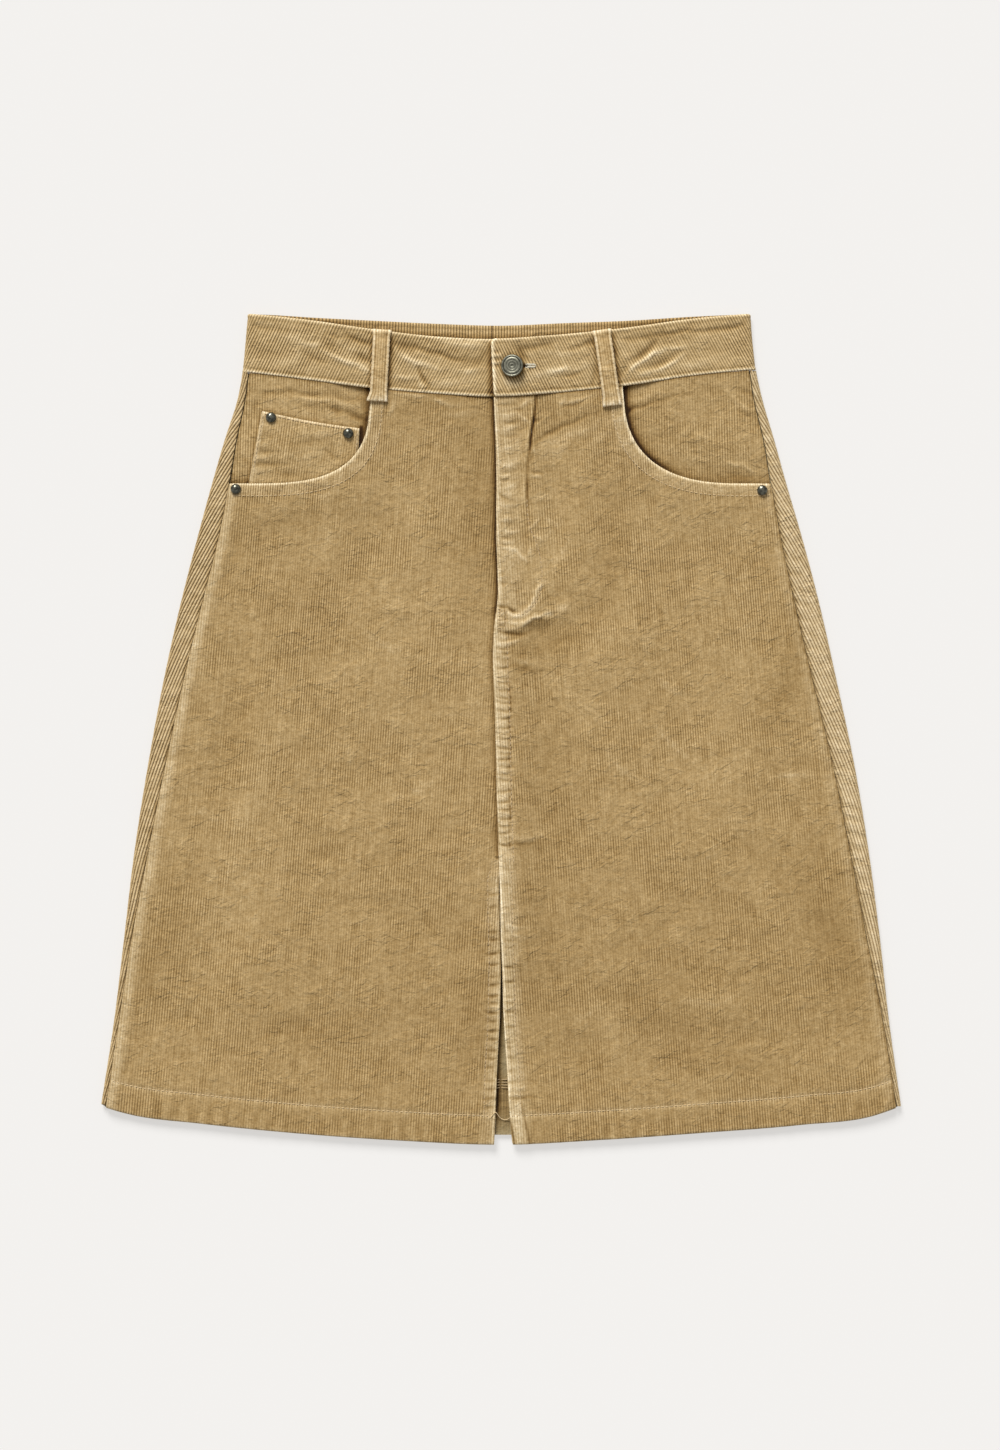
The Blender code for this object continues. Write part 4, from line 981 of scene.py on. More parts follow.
def front_sewing(side, x, y, from_hem, from_waist, from_seam, from_mouth, from_centre):
    """Stitched grooves and the puckers beside them."""
    high = -0.32 * hump(from_hem - HEM_TURN, 1.1)
    high = high + 0.16 * ripple(x, 6.4, 1.0) * hump(from_hem - HEM_TURN + 2.0, 7.0)
    high = high + 0.16 * ripple(x + 0.3 * y, 12.0, 4.0) * ease((14.0 - from_hem) / 14.0)
    open_mouth = ease((from_seam - 1.0) / 3.0)
    high = high - 0.22 * open_mouth * hump(from_mouth - MOUTH_STITCH, 0.9)
    around = x + 1.7 * y
    high = high + 0.12 * open_mouth * ripple(around, 5.6, 2.0 + side) * hump(from_mouth - 6.0, 5.0)
    ridge = 1.0 if side < 0 else 0.35
    high = high + ridge * 0.42 * (1.0 - ease((from_seam - 8.0) / 5.0))
    high = high + 0.17 * ripple(y + 0.4 * from_seam, 6.3, 3.0 + side) * hump(from_seam - 3.0, 6.0)
    high = high - rolled(from_seam, 0.45, 1.3) - rolled(from_waist, 0.2, 1.2)
    if side > 0:
        lower = 1.0 - ease((y - 66.0) / 6.0)
        seam = ease((y - SLIT_TOP) / 12.0)
        second = blend(SLIT_TURN, FELL_STITCH, seam)
        curl = 1.4 * ripple(y, 9.0, 2.0)
        high = high - 0.45 * lower * hump(from_centre - second - seam * curl, 0.9)
        high = high + 0.45 * (1.0 - seam) * (1.0 - ease((from_centre - 9.0) / 4.0))
        beside_flap = from_centre - flap_centre(from_hem)
        flap = 0.45 * (1.0 - ease((np.abs(beside_flap) - 4.2) / 1.0)) - 0.5 * hump(beside_flap + 5.8, 0.9)
        high = high + ease((FLAP_HIGH - from_hem) / 3.0) * flap
        fold_x, strong = fly_fold(y)
        high = high - 0.9 * strong * hump(x - fold_x - 0.3, 1.1)
        high = high + 0.5 * strong * hump(x - fold_x + 1.8, 1.3)
        high = high - 0.25 * (y < 160.0) * hump(fly_line(x, y), 0.9)
        high = high + 0.8 * creases(FLY_FOLDS, x, y) + creases(EDGE_TICKS, x, y)
        high = high + 0.35 * creases(FOOT_LINES, x, y)
    else:
        open_slit = 1.0 - ease((y - SLIT_TOP) / 8.0)
        high = high - 0.3 * open_slit * hump(from_centre - SLIT_TURN, 0.9)
        high = high + 0.3 * open_slit * hump(from_centre - 1.2, 1.4)
        high = high + creases(SLIT_TICKS, x, y)
    return high


J_DARK = np.array((
    # y, x of the stitched line of the fly, how deep it lies
    (78, 19, 0.0), (100, 27, 0.0), (147, 20.2, 0.0), (156, 19.0, 0.2), (165, 18.6, 0.55),
    (174, 18.6, 0.7), (184, 18.6, 0.35), (190, 18.8, 0.3), (197, 20.0, 0.45), (202, 20.6, 0.9),
    (208, 21.0, 1.0), (215, 22.0, 0.95), (222, 23.2, 1.0), (230, 24.2, 0.7), (239, 24.9, 0.5),
    (244, 25.2, 0.3),
), float)


def fly_fold(y):
    """x of the fly's stitched fold and how deep it lies."""
    return np.interp(y, J_DARK[:, 0], J_DARK[:, 1]), np.interp(y, J_DARK[:, 0], J_DARK[:, 2])


EDGE_TICKS = tuple((2.4 + 0.8 * math.sin(2.7 * y), y, 6.0 * math.sin(1.9 * y), 5.6, 0.95, -deep)
                   for y, deep in (
    (57.5, 0.5), (54, 0.45), (49.5, 0.3), (43.8, 0.6), (36, 0.4), (32.8, 0.5), (27.5, 0.4), (22, 0.5),
    (18.6, 0.5), (13, 0.45), (7.5, 0.6), (0.5, 0.5), (-3.5, 0.4), (-7, 0.45), (-14, 0.6), (-18, 0.4),
    (-22, 0.6), (-27, 0.4), (-33, 0.45), (-37, 0.4), (-45, 0.5), (-52.5, 0.6), (-58, 0.65),
    (-64.5, 0.6), (-70, 0.45), (-75, 0.45), (-83.5, 0.6),
)) + tuple((6.0, y, 4.0 * math.sin(1.3 * y), 4.6, 1.0, -deep) for y, deep in (
    (-101, 0.2), (-112, 0.2), (-128, 0.2), (-152, 0.3), (-157, 0.25), (-171, 0.45), (-181.5, 0.5),
    (-192.5, 0.3), (-197, 0.3), (-203, 0.45), (-214, 0.3), (-225, 0.25), (-236, 0.25), (-246, 0.3),
    (-254, 0.25),
)) + tuple((6.4 + 0.5 * math.sin(5.0 * y), y, 90.0 + 40.0 * math.sin(3.1 * y), 1.9, 0.9, -0.5) for y in (
    31, 27, 23, 19, 14, 6, 2, -2, -7, -12, -17, -22, -27, -44, -49, -56, -60, -64, -68, -73, -78, -83))
SLIT_TICKS = tuple((centre, y, 5.0 * math.sin(1.7 * y), 4.4, 1.0, -deep) for y, centre, deep in (
    (-119, -6.5, 0.3), (-128, -6.5, 0.3), (-146, -6, 0.35), (-151.5, -6, 0.5), (-161.5, -6, 0.55),
    (-169.5, -6, 0.5), (-178, -6, 0.3), (-184, -6, 0.5), (-192, -6, 0.5), (-197, -6, 0.35),
    (-204, -6.2, 0.55), (-210, -6.2, 0.4), (-217, -6.4, 0.5), (-223, -6.6, 0.4), (-231, -7, 0.4),
    (-237, -7, 0.35), (-243, -7.2, 0.3), (-253, -7.6, 0.3), (-259, -8, 0.3), (-265.5, -8, 0.35),
    (-272, -8.5, 0.3),
))


FLY_FOLDS = (
    # x, y, heading, half length, half width, height
    (3, 232.3, 0, 6, 1.2, -0.65), (12, 229, 0, 3, 1.1, -0.4), (17, 233.5, 40, 5, 1.6, 0.5),
    (5, 225.5, 5, 7, 1.6, 0.5), (6, 219.8, 5, 5.5, 1.2, -0.8), (16, 223, -38, 5, 1.5, 0.6),
    (6, 215.5, 12, 6, 1.6, 0.5), (7, 210, 3, 7, 1.2, -0.6), (16, 215.5, 20, 4, 1.1, -0.35),
    (6, 202, 12, 5, 1.5, 0.4), (6, 197, 10, 6, 1.3, -0.35), (5, 189.5, 5, 5, 1.9, 0.5),
    (6, 184.5, 5, 5, 1.2, -0.5), (3, 181.5, 10, 3, 1.1, 0.45), (2.5, 178.5, 0, 3, 1.1, -0.65),
    (5.5, 173.5, 20, 5, 1.8, 0.5), (3.5, 165.5, -25, 6, 1.2, -0.75), (5, 169, -5, 4, 1.2, 0.35),
    (4, 160.5, -4, 6, 1.4, 0.35), (4, 154.5, 0, 5, 1.2, -0.45), (4, 150.5, 0, 6, 1.3, 0.5),
    (5, 147, 0, 5, 1.2, -0.4), (6, 141.5, -3, 6, 1.3, 0.5), (3, 137, -2, 4.5, 1.1, -0.65),
    (4, 134.3, -5, 3, 1.1, 0.45), (2, 131.7, -5, 3, 1.0, -0.5), (6, 129.3, -12, 5, 1.3, 0.65),
    (14, 124.5, -45, 6, 1.4, 0.6), (1.5, 111, 0, 2.5, 1.2, -0.45), (1.5, 104.5, -5, 2.5, 1.2, -0.6),
    (18, 139.5, -40, 4, 2.6, -0.4), (13, 100, 84, 9, 2.6, -0.25), (28, 102, 48, 5, 1.5, 0.7),
    (24, 93.5, 62, 7, 1.5, 0.8), (18.5, 85.5, 35, 6, 1.5, 0.85), (12, 81.3, 3, 6, 1.4, 0.7),
    (0, 88, -5, 4, 1.1, -0.8), (7.5, 85.5, -32, 4, 1.2, -1.0), (14.5, 88, 20, 5, 1.6, -0.4),
    (17, 75.5, 30, 8, 1.5, 1.1), (31, 81.5, 15, 10, 1.4, 0.9), (43, 86, 18, 6, 1.4, 0.55),
    (10, 76, -3, 4, 1.1, 0.5), (9, 68.3, -3, 8, 1.5, -1.1), (28, 73.5, 12, 14, 3.4, -0.6),
    (6, 62, 10, 8, 1.3, 0.6), (8, 64.8, 5, 8, 1.1, -0.45), (1.5, 83.5, 0, 2.5, 0.8, 0.35),
    (1.5, 77, 0, 2.5, 0.8, 0.35), (3.5, 79, 88, 5, 0.9, -0.6), (1.5, 80, 0, 2.5, 0.9, -0.45),
    (1.5, 73.7, 0, 2.5, 0.9, -0.45),
)
# Fine lines at the foot of the fly: low ridges and troughs, painted paler or darker.
FOOT_LINES = (
    # x, y, heading, half length, half width, paler by
    (1.3, 87.4, -10, 3.6, 0.75, -0.75), (7.6, 84.9, -38, 2.8, 0.8, -0.9), (3.4, 81.4, 90, 4.4, 0.7, -0.6),
    (0.2, 84.3, -4, 2.4, 0.6, -0.5), (0.0, 81.0, -6, 2.4, 0.6, -0.5), (0.2, 78.0, -3, 2.4, 0.6, -0.5),
    (0.0, 75.4, -8, 2.4, 0.6, -0.55), (0.0, 72.7, -6, 2.4, 0.6, -0.5), (0.2, 86.0, -8, 2.4, 0.6, 0.35),
    (0.1, 82.6, -5, 2.4, 0.6, 0.35), (0.1, 79.5, -4, 2.4, 0.6, 0.35), (0.1, 76.7, -6, 2.4, 0.6, 0.35),
    (6.7, 82.7, -34, 2.4, 0.8, 0.6), (11.8, 81.4, 2, 3.2, 0.8, 0.55), (17.3, 82.6, 22, 3.4, 0.8, 0.6),
    (22.4, 86.0, 44, 3.6, 0.8, 0.6), (26.8, 91.0, 50, 4.0, 0.9, 0.5), (12.0, 84.6, -8, 4.0, 1.0, -0.35),
    (19.0, 87.6, 42, 4.0, 1.2, -0.3), (8.8, 76.0, 0, 4.4, 0.75, 0.6), (18.2, 77.5, 19, 5.0, 0.75, 0.75),
    (27.1, 80.6, 15, 5.0, 0.75, 0.75), (36.3, 83.2, 17, 5.6, 0.8, 0.55), (20.0, 75.6, 19, 5.0, 1.1, -0.4),
    (29.0, 78.6, 15, 6.0, 1.2, -0.4), (2.0, 69.3, -12, 5.0, 0.75, -0.7), (12.5, 67.9, 2, 6.0, 0.8, -0.7),
    (4.0, 71.4, -8, 5.0, 0.8, 0.4), (14.0, 70.4, 8, 6.0, 1.0, 0.3), (1.8, 63.5, 0, 4.6, 0.75, -0.65),
    (5.0, 65.6, 2, 5.0, 0.8, 0.4), (9.0, 62.6, 22, 4.0, 0.8, 0.45), (2.0, 60.2, -3, 4.4, 0.7, 0.4),
)
FLY_J = np.array(((24.8, 239.0), (23.2, 222.0), (21.0, 208.0), (20.0, 197.0), (18.6, 185.0), (18.6, 165.0),
                  (20.2, 147.0), (26.5, 130.0), (29.5, 110.0), (27.0, 95.0), (15.0, 82.5), (6.0, 83.5)))


def smooth_path(knots, step):
    """Evenly spaced points on a smooth line through knots."""
    knots = np.asarray(knots, float)
    run = np.concatenate(([0.0], np.cumsum(np.linalg.norm(np.diff(knots, axis=0), axis=1))))
    at = np.linspace(0.0, run[-1], max(int(run[-1] / 0.5), 8))
    line = np.stack([through(run, knots[:, k], at) for k in range(2)], axis=-1)
    length = np.concatenate(([0.0], np.cumsum(np.linalg.norm(np.diff(line, axis=0), axis=1))))
    at = np.arange(0.0, length[-1], step)
    return np.stack([np.interp(at, length, line[:, k]) for k in range(2)], axis=-1)


J_LINE = smooth_path(FLY_J, 1.0)


def fly_line(x, y):
    """Nearest distance to the fly's stitching, worked out only close to it."""
    away = np.full(np.shape(x), 99.0)
    near = (x > -2.0) & (x < 34.0) & (y > 76.0) & (y < 242.0)
    if near.any():
        px, py = x[near], y[near]
        gap = np.sqrt((px[:, None] - J_LINE[None, :, 0]) ** 2 + (py[:, None] - J_LINE[None, :, 1]) ** 2)
        away[near] = gap.min(axis=1)
    return away


def flap_centre(r):
    """Middle of the slit's facing where its lower corner is folded out, from the slit's edge."""
    return 4.6 + 2.8 * ease((30.0 - r) / 30.0)


def front_thick(side, x, y):
    from_hem, _, _, _, from_centre = front_shape(side, x, y)
    hem = 1.0 - ease((from_hem - HEM_TURN) / 1.6)
    if side > 0:
        turned = blend(SLIT_TURN, SEAM_TURN, ease((y - SLIT_TOP) / 10.0))
        turned = blend(turned, FLY_FACING, ease((y - FLY_BOTTOM + 14.0) / 6.0))
        centre = 1.0 - ease((from_centre - turned) / 1.6)
    else:
        centre = 1.0 - ease((from_centre - SLIT_TURN) / 1.6)
        centre = centre * (1.0 - ease((y - SLIT_TOP + 70.0) / 40.0))
    return CLOTH + CLOTH * np.maximum(hem, centre)


FRONT_ROWS = np.unique(np.concatenate((np.arange(0.0, 560.0, 1.0), (20.2, 21.8))))


def front(side):
    def line(u, r):
        lean = 3.8 + 1.6 * ease((np.abs(u) - 60.0) / 220.0)
        return u - side * r * np.tan(np.radians(lean))
    def inside(x, r):
        return np.min(front_shape(side, x, r + edge("hem", x)), axis=0)
    def rim(x, y):
        from_hem, _, _, from_mouth, from_centre = front_shape(side, x, y)
        return rolled(np.minimum(from_hem, np.minimum(from_centre, from_mouth)), 0.75, 1.2)
    def outer(x, r, sink):
        y = r + edge("hem", x)
        return points(x, y, front_high(side, x, y) - sink - rim(x, y))
    def inner(x, r, sink):
        y = r + edge("hem", x)
        return points(x, y, front_high(side, x, y) - front_thick(side, x, y) + 0.7 * rim(x, y))
    def keep(x, r):
        y = r + edge("hem", x)
        _, from_waist, from_seam, from_mouth, from_centre = front_shape(side, x, y)
        close = (from_centre < 25.0) | (from_mouth < 12.0) | (from_seam < 6.0) | (from_waist < 7.0)
        closer = (y > 60.0) & (from_centre < 34.0) & (side > 0)
        closer = closer | (from_centre < 13.0) & (y < (66.0 if side > 0 else SLIT_TOP))
        closer = closer | (from_waist < 30.0) & (np.abs(x) < 72.0)
        return ((r % 4.0 == 0.0) | close & (r % 2.0 == 0.0) | closer & (r % 1.0 == 0.0)
                | (np.abs(r - HEM_TURN) < 2.5))
    def keep_inner(x, r):
        y = r + edge("hem", x)
        from_centre = front_shape(side, x, y)[4]
        close = (from_centre < 26.0) & (r % 8.0 == 0.0)
        close = close | (from_centre < 60.0) & (np.abs(y - 80.0) < 32.0) & (r % 4.0 == 0.0)
        return (r % 20.0 == 0.0) | close | (np.abs(r - HEM_TURN) < 2.1)
    # Pale edges, seams, flap and crease ridges: partly wear, partly painted highlight.
    def paint_wear_and_highlight(x, r):
        y = r + edge("hem", x)
        from_hem, _, from_seam, from_mouth, from_centre = front_shape(side, x, y)
        wear_and_painted_highlight = 0.35 * hump(from_hem, 1.2) + 0.95 * hump(from_mouth - 0.3, 1.1) * ease(from_seam / 3.0)
        wear_and_painted_highlight = wear_and_painted_highlight + 0.22 * hump(from_mouth - 5.0, 4.0) + 0.25 * hump(from_hem - HEM_TURN, 1.6)
        wear_and_painted_highlight = wear_and_painted_highlight + (0.36 if side < 0 else 0.16) * hump(from_seam - 3.0, 4.0)
        lines = creases(SHARP_FOLDS, x, y)
        if side > 0:
            lines = lines + creases(FLY_FOLDS, x, y)
            seam = 1.0 - ease((y - 70.0) / 8.0)
            slit = 1.0 - ease((y - SLIT_TOP) / 10.0)
            wear_and_painted_highlight = wear_and_painted_highlight + 0.5 * hump(from_centre - 1.0, 1.5) + seam * 0.34 * hump(from_centre - 5.5, 5.5)
            wear_and_painted_highlight = wear_and_painted_highlight + 0.22 * slit * hump(from_centre - 6.0, 6.0)
            wear_and_painted_highlight = wear_and_painted_highlight + (1.0 - seam) * 0.26 * hump(from_centre - 8.0, 9.0)
            flap = hump(np.maximum(np.abs(from_centre - flap_centre(from_hem)) - 3.4, 0.0), 0.9)
            wear_and_painted_highlight = wear_and_painted_highlight + 0.10 * slit * ease((FLAP_HIGH - from_hem) / 5.0) * flap
        else:
            open_slit = 1.0 - ease((y - SLIT_TOP) / 8.0)
            wear_and_painted_highlight = wear_and_painted_highlight + 0.7 * open_slit * hump(from_centre - 1.0, 1.5)
            wear_and_painted_highlight = wear_and_painted_highlight + 0.25 * open_slit * hump(from_centre - 5.0, 4.0)
        return wear_and_painted_highlight + np.clip(0.35 * lines, 0.0, 0.3)
    # Painted shade and painted highlights on the fronts, with the broad tone patches: under the waistband,
    # in the seams and pocket mouths, at the hem, beside the fly, in the slit, on creases and stitch
    # puckers.
    def shade(x, r, outside):
        y = r + edge("hem", x)
        from_hem, from_waist, from_seam, from_mouth, from_centre = front_shape(side, x, y)
        dark = 0.85 * creases(TONE_PATCHES, x, y) - 0.12 * creases(SMALL_FOLDS, x, y) - 0.03 * creases(FOLDS, x, y)
        lines = creases(SHARP_FOLDS, x, y)
        seam = (0.22 + 0.25 * ripple(y, 9.0, 1.0)) if side > 0 else 0.0
        dark = dark + 0.42 * hump(from_waist, 1.0) + seam * hump(from_seam - 0.6, 1.3)
        lit_edge = ease(from_seam / 3.0) * (0.8 + 0.3 * ripple(x + y, 3.1, 1.0))
        dark = dark - 0.22 * hump(from_mouth - 1.0, 0.9) * lit_edge
        dark = dark + (0.06 + 0.10 * ripple(x, 12.0, 4.0)) * ease((HEM_TURN - 2.0 - from_hem) / 10.0)
        dark = dark + 0.10 * hump(from_mouth - 9.6, 1.2) * ease((from_seam - 1.0) / 3.0)
        if side < 0:
            # Painted shadow on the left front beside the right front's edge.
            beside = centre_edge(1, y) - x
            above = ease((y - 76.0) / 10.0)
            dark = dark + (0.48 + 0.30 * above) * hump(beside, 2.6) * (y > SLIT_TOP + 4.0)
            dark = dark + 0.13 * above * np.exp(-np.maximum(beside, 0.0) / 11.0)
            dark = dark - 0.08 * hump(from_seam - 3.0, 4.0)
            ticks, felled = 1.2 * creases(SLIT_TICKS, x, y), 0.0
            slit_edge = ease((SLIT_TOP + 4.0 - y) / 6.0) * ease((y + 200.0) / 30.0)
            dark = dark + 0.35 * hump(from_centre - 0.4, 0.9) * slit_edge
        else:
            felled = ease((70.0 - y) / 8.0) * ease((y - SLIT_TOP) / 10.0)
            fold_x, strong = fly_fold(y)
            # Painted shade in the fly's stitched fold, with a painted highlight beside it.
            dark = dark + 0.95 * strong * hump(x - fold_x - 0.3, 1.15)
            dark = dark - 0.30 * strong * hump(x - fold_x + 1.9, 1.1)
            dark = dark - 0.16 * ease((y - 66.0) / 8.0) * hump(from_centre - 1.2, 1.2)
            lines = lines + 0.9 * creases(FLY_FOLDS, x, y)
            ticks = (1.15 - 0.22 * felled) * creases(EDGE_TICKS, x, y) + 0.45 * creases(FOOT_LINES, x, y)
            beside_flap, on_flap = from_centre - flap_centre(r), ease((FLAP_HIGH - r) / 5.0)
            flap = on_flap * hump(np.maximum(np.abs(beside_flap) - 3.4, 0.0), 0.9)
            dark = dark - 0.05 * flap + 0.65 * hump(beside_flap + 5.8, 0.9) * ease((24.0 - r) / 8.0)
            dark = dark + 0.30 * hump(beside_flap - 5.2, 0.8) * on_flap
            dark = dark + 0.28 * hump(r - FLAP_HIGH + 0.5, 0.9) * hump(from_centre - 8.0, 9.0)
            slit_edge = (1.0 - ease((y - SLIT_TOP) / 10.0)) * ease((r - 30.0) / 8.0)
            dark = dark - 0.34 * hump(from_centre - 0.8, 0.9) * slit_edge
        # Painted highlights on crease ridges, painted shade in their troughs and in the stitch puckers.
        dark = dark - np.clip(0.50 * lines, -0.6, 0.16) - 1.05 * ticks
        dark = dark - (0.04 + 0.17 * felled) * hump(from_centre - 4.5, 6.0)
        return np.clip(dark, -0.4, 0.92) * outside
    def crush(x, r, flat):
        _, _, from_seam, _, from_centre = front_shape(side, x, r + edge("hem", x))
        smooth = hump(from_seam - 4.0, 5.0) * (0.9 if side < 0 else 0.2)
        if side > 0:
            smooth = smooth + 0.6 * hump(from_centre - 4.0, 6.0)
        return np.clip(flat + smooth, 0.0, 1.0)
    first, last = (-10.0, 290.0) if side > 0 else (-290.0, 12.0)
    return woven(
        "front_" + side_name(side) + "_cloth", wale_lines(first, last), line, inside, outer, inner,
        (0.0, 552.0), FRONT_ROWS, keep, keep_inner, paint_wear_and_highlight=paint_wear_and_highlight, shade=shade, crush=crush)


front_left = dress(front(-1), "front_left", material=panel_cord)
front_right = dress(front(1), "front_right",
                    material=corduroy("corduroy_right_front", PILE, GROOVE, PALE_WEAR_AND_HIGHLIGHT, seed=8.0))


# ------------------------------------------------------------------ waistband
# A straight band of doubled corduroy in two halves, cut on the slant and joined at the centre back.
# It wraps both sides and laps over at the front in a tab with a keyhole buttonhole. Its lower edge is
# sewn down in the ditch of the waist seam.
BAND_HIGH, TAB_HIGH, TAB_UNDERLAP, CENTRE_BACK = 6.4, 9.3, 21.0, -6.5
TAB_END = (-5.2, -7.4)
BAND_DEEP, BAND_HALF, BAND_WALE = 42.0, 180.0, 2.1
BUTTON_X, BUTTON_Y, HOLE_END = 8.4, 260.3, 18.6
LOOPS = {
    "belt_loop_left": ((-85.4, 286.9), (-88.2, 235.2), 1.6),
    "belt_loop_right": ((72.3, 286.7), (80.2, 231.9), -0.6),
}
BAND_FOLDS = (
    # x, y, heading, half length, half width, height
    (-101, 278.8, -17, 12, 2.3, -1.0), (-119, 282.5, -12, 9, 1.7, -0.55), (-124, 276, -30, 7, 3.6, -0.55),
    (-137, 276, -3, 8, 2.0, 0.5), (-112, 264, -18, 14, 1.8, 0.85), (-97, 258, -20, 6, 1.9, 0.65),
    (-132, 265.5, -22, 10, 1.9, -0.6), (-98, 266, -25, 7, 2.8, -0.75), (-170, 288, -12, 12, 2.2, -0.45),
    (-168, 270, -10, 10, 3.0, -0.3), (-152, 264, 10, 10, 3.0, 0.25), (-104, 271.5, -15, 8, 1.9, 0.4),
    (-117, 252, -5, 14, 2.5, -0.25), (-150, 281, -8, 12, 3.0, 0.25), (-68, 275, -8, 10, 3.0, -1.0),
    (-52, 271, -14, 10, 1.9, -0.85), (-38, 267, -22, 9, 1.9, -0.8), (-20, 264, -8, 14, 4.3, -0.6),
    (-12, 268, 60, 5, 2.0, -0.4), (-64, 264.5, -22, 10, 2.2, 0.9), (-50, 260, -18, 8, 2.0, 0.4),
    (-27, 277, -6, 16, 3.3, 0.55), (-22, 257, 5, 9, 2.0, 0.55), (-56, 252, -58, 8, 1.4, -1.0),
    (-57.8, 247, -62, 6, 1.5, 0.4), (-70, 252.5, -5, 8, 1.5, 0.5), (-70, 248, -2, 9, 1.7, -0.4),
    (-35, 249, 8, 16, 2.5, 0.25), (-45, 280, -5, 10, 2.0, 0.2), (-3, 270.5, 0, 3, 1.0, -0.55),
    (-3, 265.2, 0, 3.2, 1.0, -0.55), (-3.2, 260.3, 0, 3, 1.0, -0.65), (-3, 268, 0, 3, 1.1, 0.45),
    (-3, 262.8, 0, 3, 1.1, 0.45), (15, 269, -50, 6, 2.5, -0.9), (20, 273.5, 4, 9, 2.4, -0.75),
    (33, 276, 14, 7, 2.1, -0.6), (46, 270, 8, 8, 2.2, 0.35), (55, 274, 20, 9, 1.8, -0.65),
    (65, 277.3, 8, 5, 2.3, -0.95), (42, 257.5, 12, 7, 1.9, 0.8), (51, 254, 14, 8, 1.4, -0.65),
    (28, 254, 10, 12, 3.3, 0.4), (7, 248, -10, 8, 3.0, 0.4), (47, 243.8, 3, 12, 1.2, -0.5),
    (57, 259, 10, 8, 2.4, 0.3), (67, 252, 80, 8, 1.8, -0.6), (92, 280, 2, 8, 1.7, -0.55),
    (105, 281.5, 8, 8, 1.7, -0.65), (122, 284, 8, 14, 1.8, -0.85), (145, 285.5, 4, 14, 1.7, -0.5),
    (165, 288, 12, 12, 1.8, -0.8), (120, 279, 8, 18, 3.6, -0.4), (103, 270, 38, 12, 2.4, -1.1),
    (104, 265.8, 36, 9, 1.8, 0.85), (113, 270.5, 18, 6, 1.7, 0.55), (95, 259.5, 40, 5, 1.7, 0.65),
    (116, 263.3, 24, 13, 2.4, -0.8), (119.5, 260.8, 28, 11, 1.6, 0.75), (127, 273.8, 4, 9, 1.6, 0.5),
    (104, 255.5, 22, 6, 1.7, 0.45), (88, 256, 42, 6, 1.8, -0.5), (140, 262, 10, 14, 3.0, 0.25),
    (150, 272, 0, 14, 3.4, -0.25),
)


def band_high(side, x):
    if side < 0:
        return blend(BAND_HIGH - 0.2, BAND_HIGH, ease((-x - 12.0) / 30.0))
    return blend(TAB_HIGH, BAND_HIGH, ease((x - TAB_UNDERLAP - 1.0) / 22.0))


def band_edge(name, x, half):
    return edge(name, x / half * HALF_WIDTH[name.replace("back_", "")])


def band_place(side, a, h):
    """x, y, turn round the fold, and how far past the fold, for a point of the flat band."""
    share = h / BAND_DEEP
    y_side = blend(float(edge("waist", 184.5 * side)), float(edge("top", 184.5 * side)), share)
    radius = BAND_HIGH / 2.0
    reach = np.abs(level("fold_" + side_name(side), y_side)) - radius
    half = blend(HALF_WIDTH["waist"], HALF_WIDTH["top"], share)
    front_x = side * a * reach / BAND_HALF
    behind = a - BAND_HALF - math.pi * radius
    back_x = side * (reach - behind * reach / BAND_HALF)
    turn = np.clip((a - BAND_HALF) / radius, 0.0, math.pi)
    flat_x = np.where(behind > 0.0, back_x, np.where(turn > 0.0, side * reach, front_x))
    y_front = blend(band_edge("waist", flat_x, half), band_edge("top", flat_x, half), share)
    y_back = blend(band_edge("back_waist", flat_x, half), band_edge("back_top", flat_x, half), share)
    y = blend(y_front, y_back, ease(turn / math.pi))
    return flat_x, y, turn, behind


def band_end(side, h):
    """How far the band's front end lies from the centre, its corners a little rounded."""
    if side < 0:
        return -TAB_UNDERLAP + 0.0 * h
    corner = np.maximum(np.maximum(4.0 - (BAND_DEEP - h), 2.0 - h), 0.0)
    return blend(TAB_END[0], TAB_END[1], h / BAND_DEEP) + 0.16 * corner**2


def band_inside(side, a, h):
    x, _, turn, behind = band_place(side, a, h)
    ahead = np.where(turn <= 0.0, side * x - band_end(side, h), 9.0)
    seam = np.where(behind > 0.0, side * (x - CENTRE_BACK) - 0.02, 9.0)
    return np.minimum(np.minimum(h, BAND_DEEP - h), np.minimum(ahead, seam))


def band_relief(side, x, y, h, turn):
    """Creases, stitched grooves and rolled edges of the band."""
    front = 1.0 - ease(turn / 1.5)
    middle = ease((h - 1.5) / 2.0) * ease((BAND_DEEP - h - 1.5) / 3.0)
    lift = 1.35 * creases(BAND_FOLDS, x, y) * middle * front
    from_top = BAND_DEEP - h
    lift = lift + 0.38 * hump(h - 0.8, 1.0) + 0.3 * hump(from_top - 1.0, 1.2)
    lift = lift - 0.30 * hump(h - 2.6, 0.8) - 0.12 * hump(from_top - 3.2, 1.2)
    lift = lift + 0.10 * ripple(x, 5.2, 2.0 + side) * (hump(h - 3.5, 4.0) + hump(from_top - 4.5, 4.5))
    if side > 0:
        end = x - band_end(side, h)
        lift = lift + (0.3 * hump(end - 1.2, 1.3) - 0.28 * hump(end - 3.2, 0.9)) * front
        hole = np.maximum(np.abs(y - BUTTON_Y) - 0.7, 0.0) + np.maximum(x - HOLE_END, 0.0)
        hole = hole + np.maximum(BUTTON_X - x, 0.0)
        lift = lift - 2.1 * front * (1.0 - ease(hole / 0.7)) + 0.35 * front * hump(hole - 1.9, 0.9)
    return lift


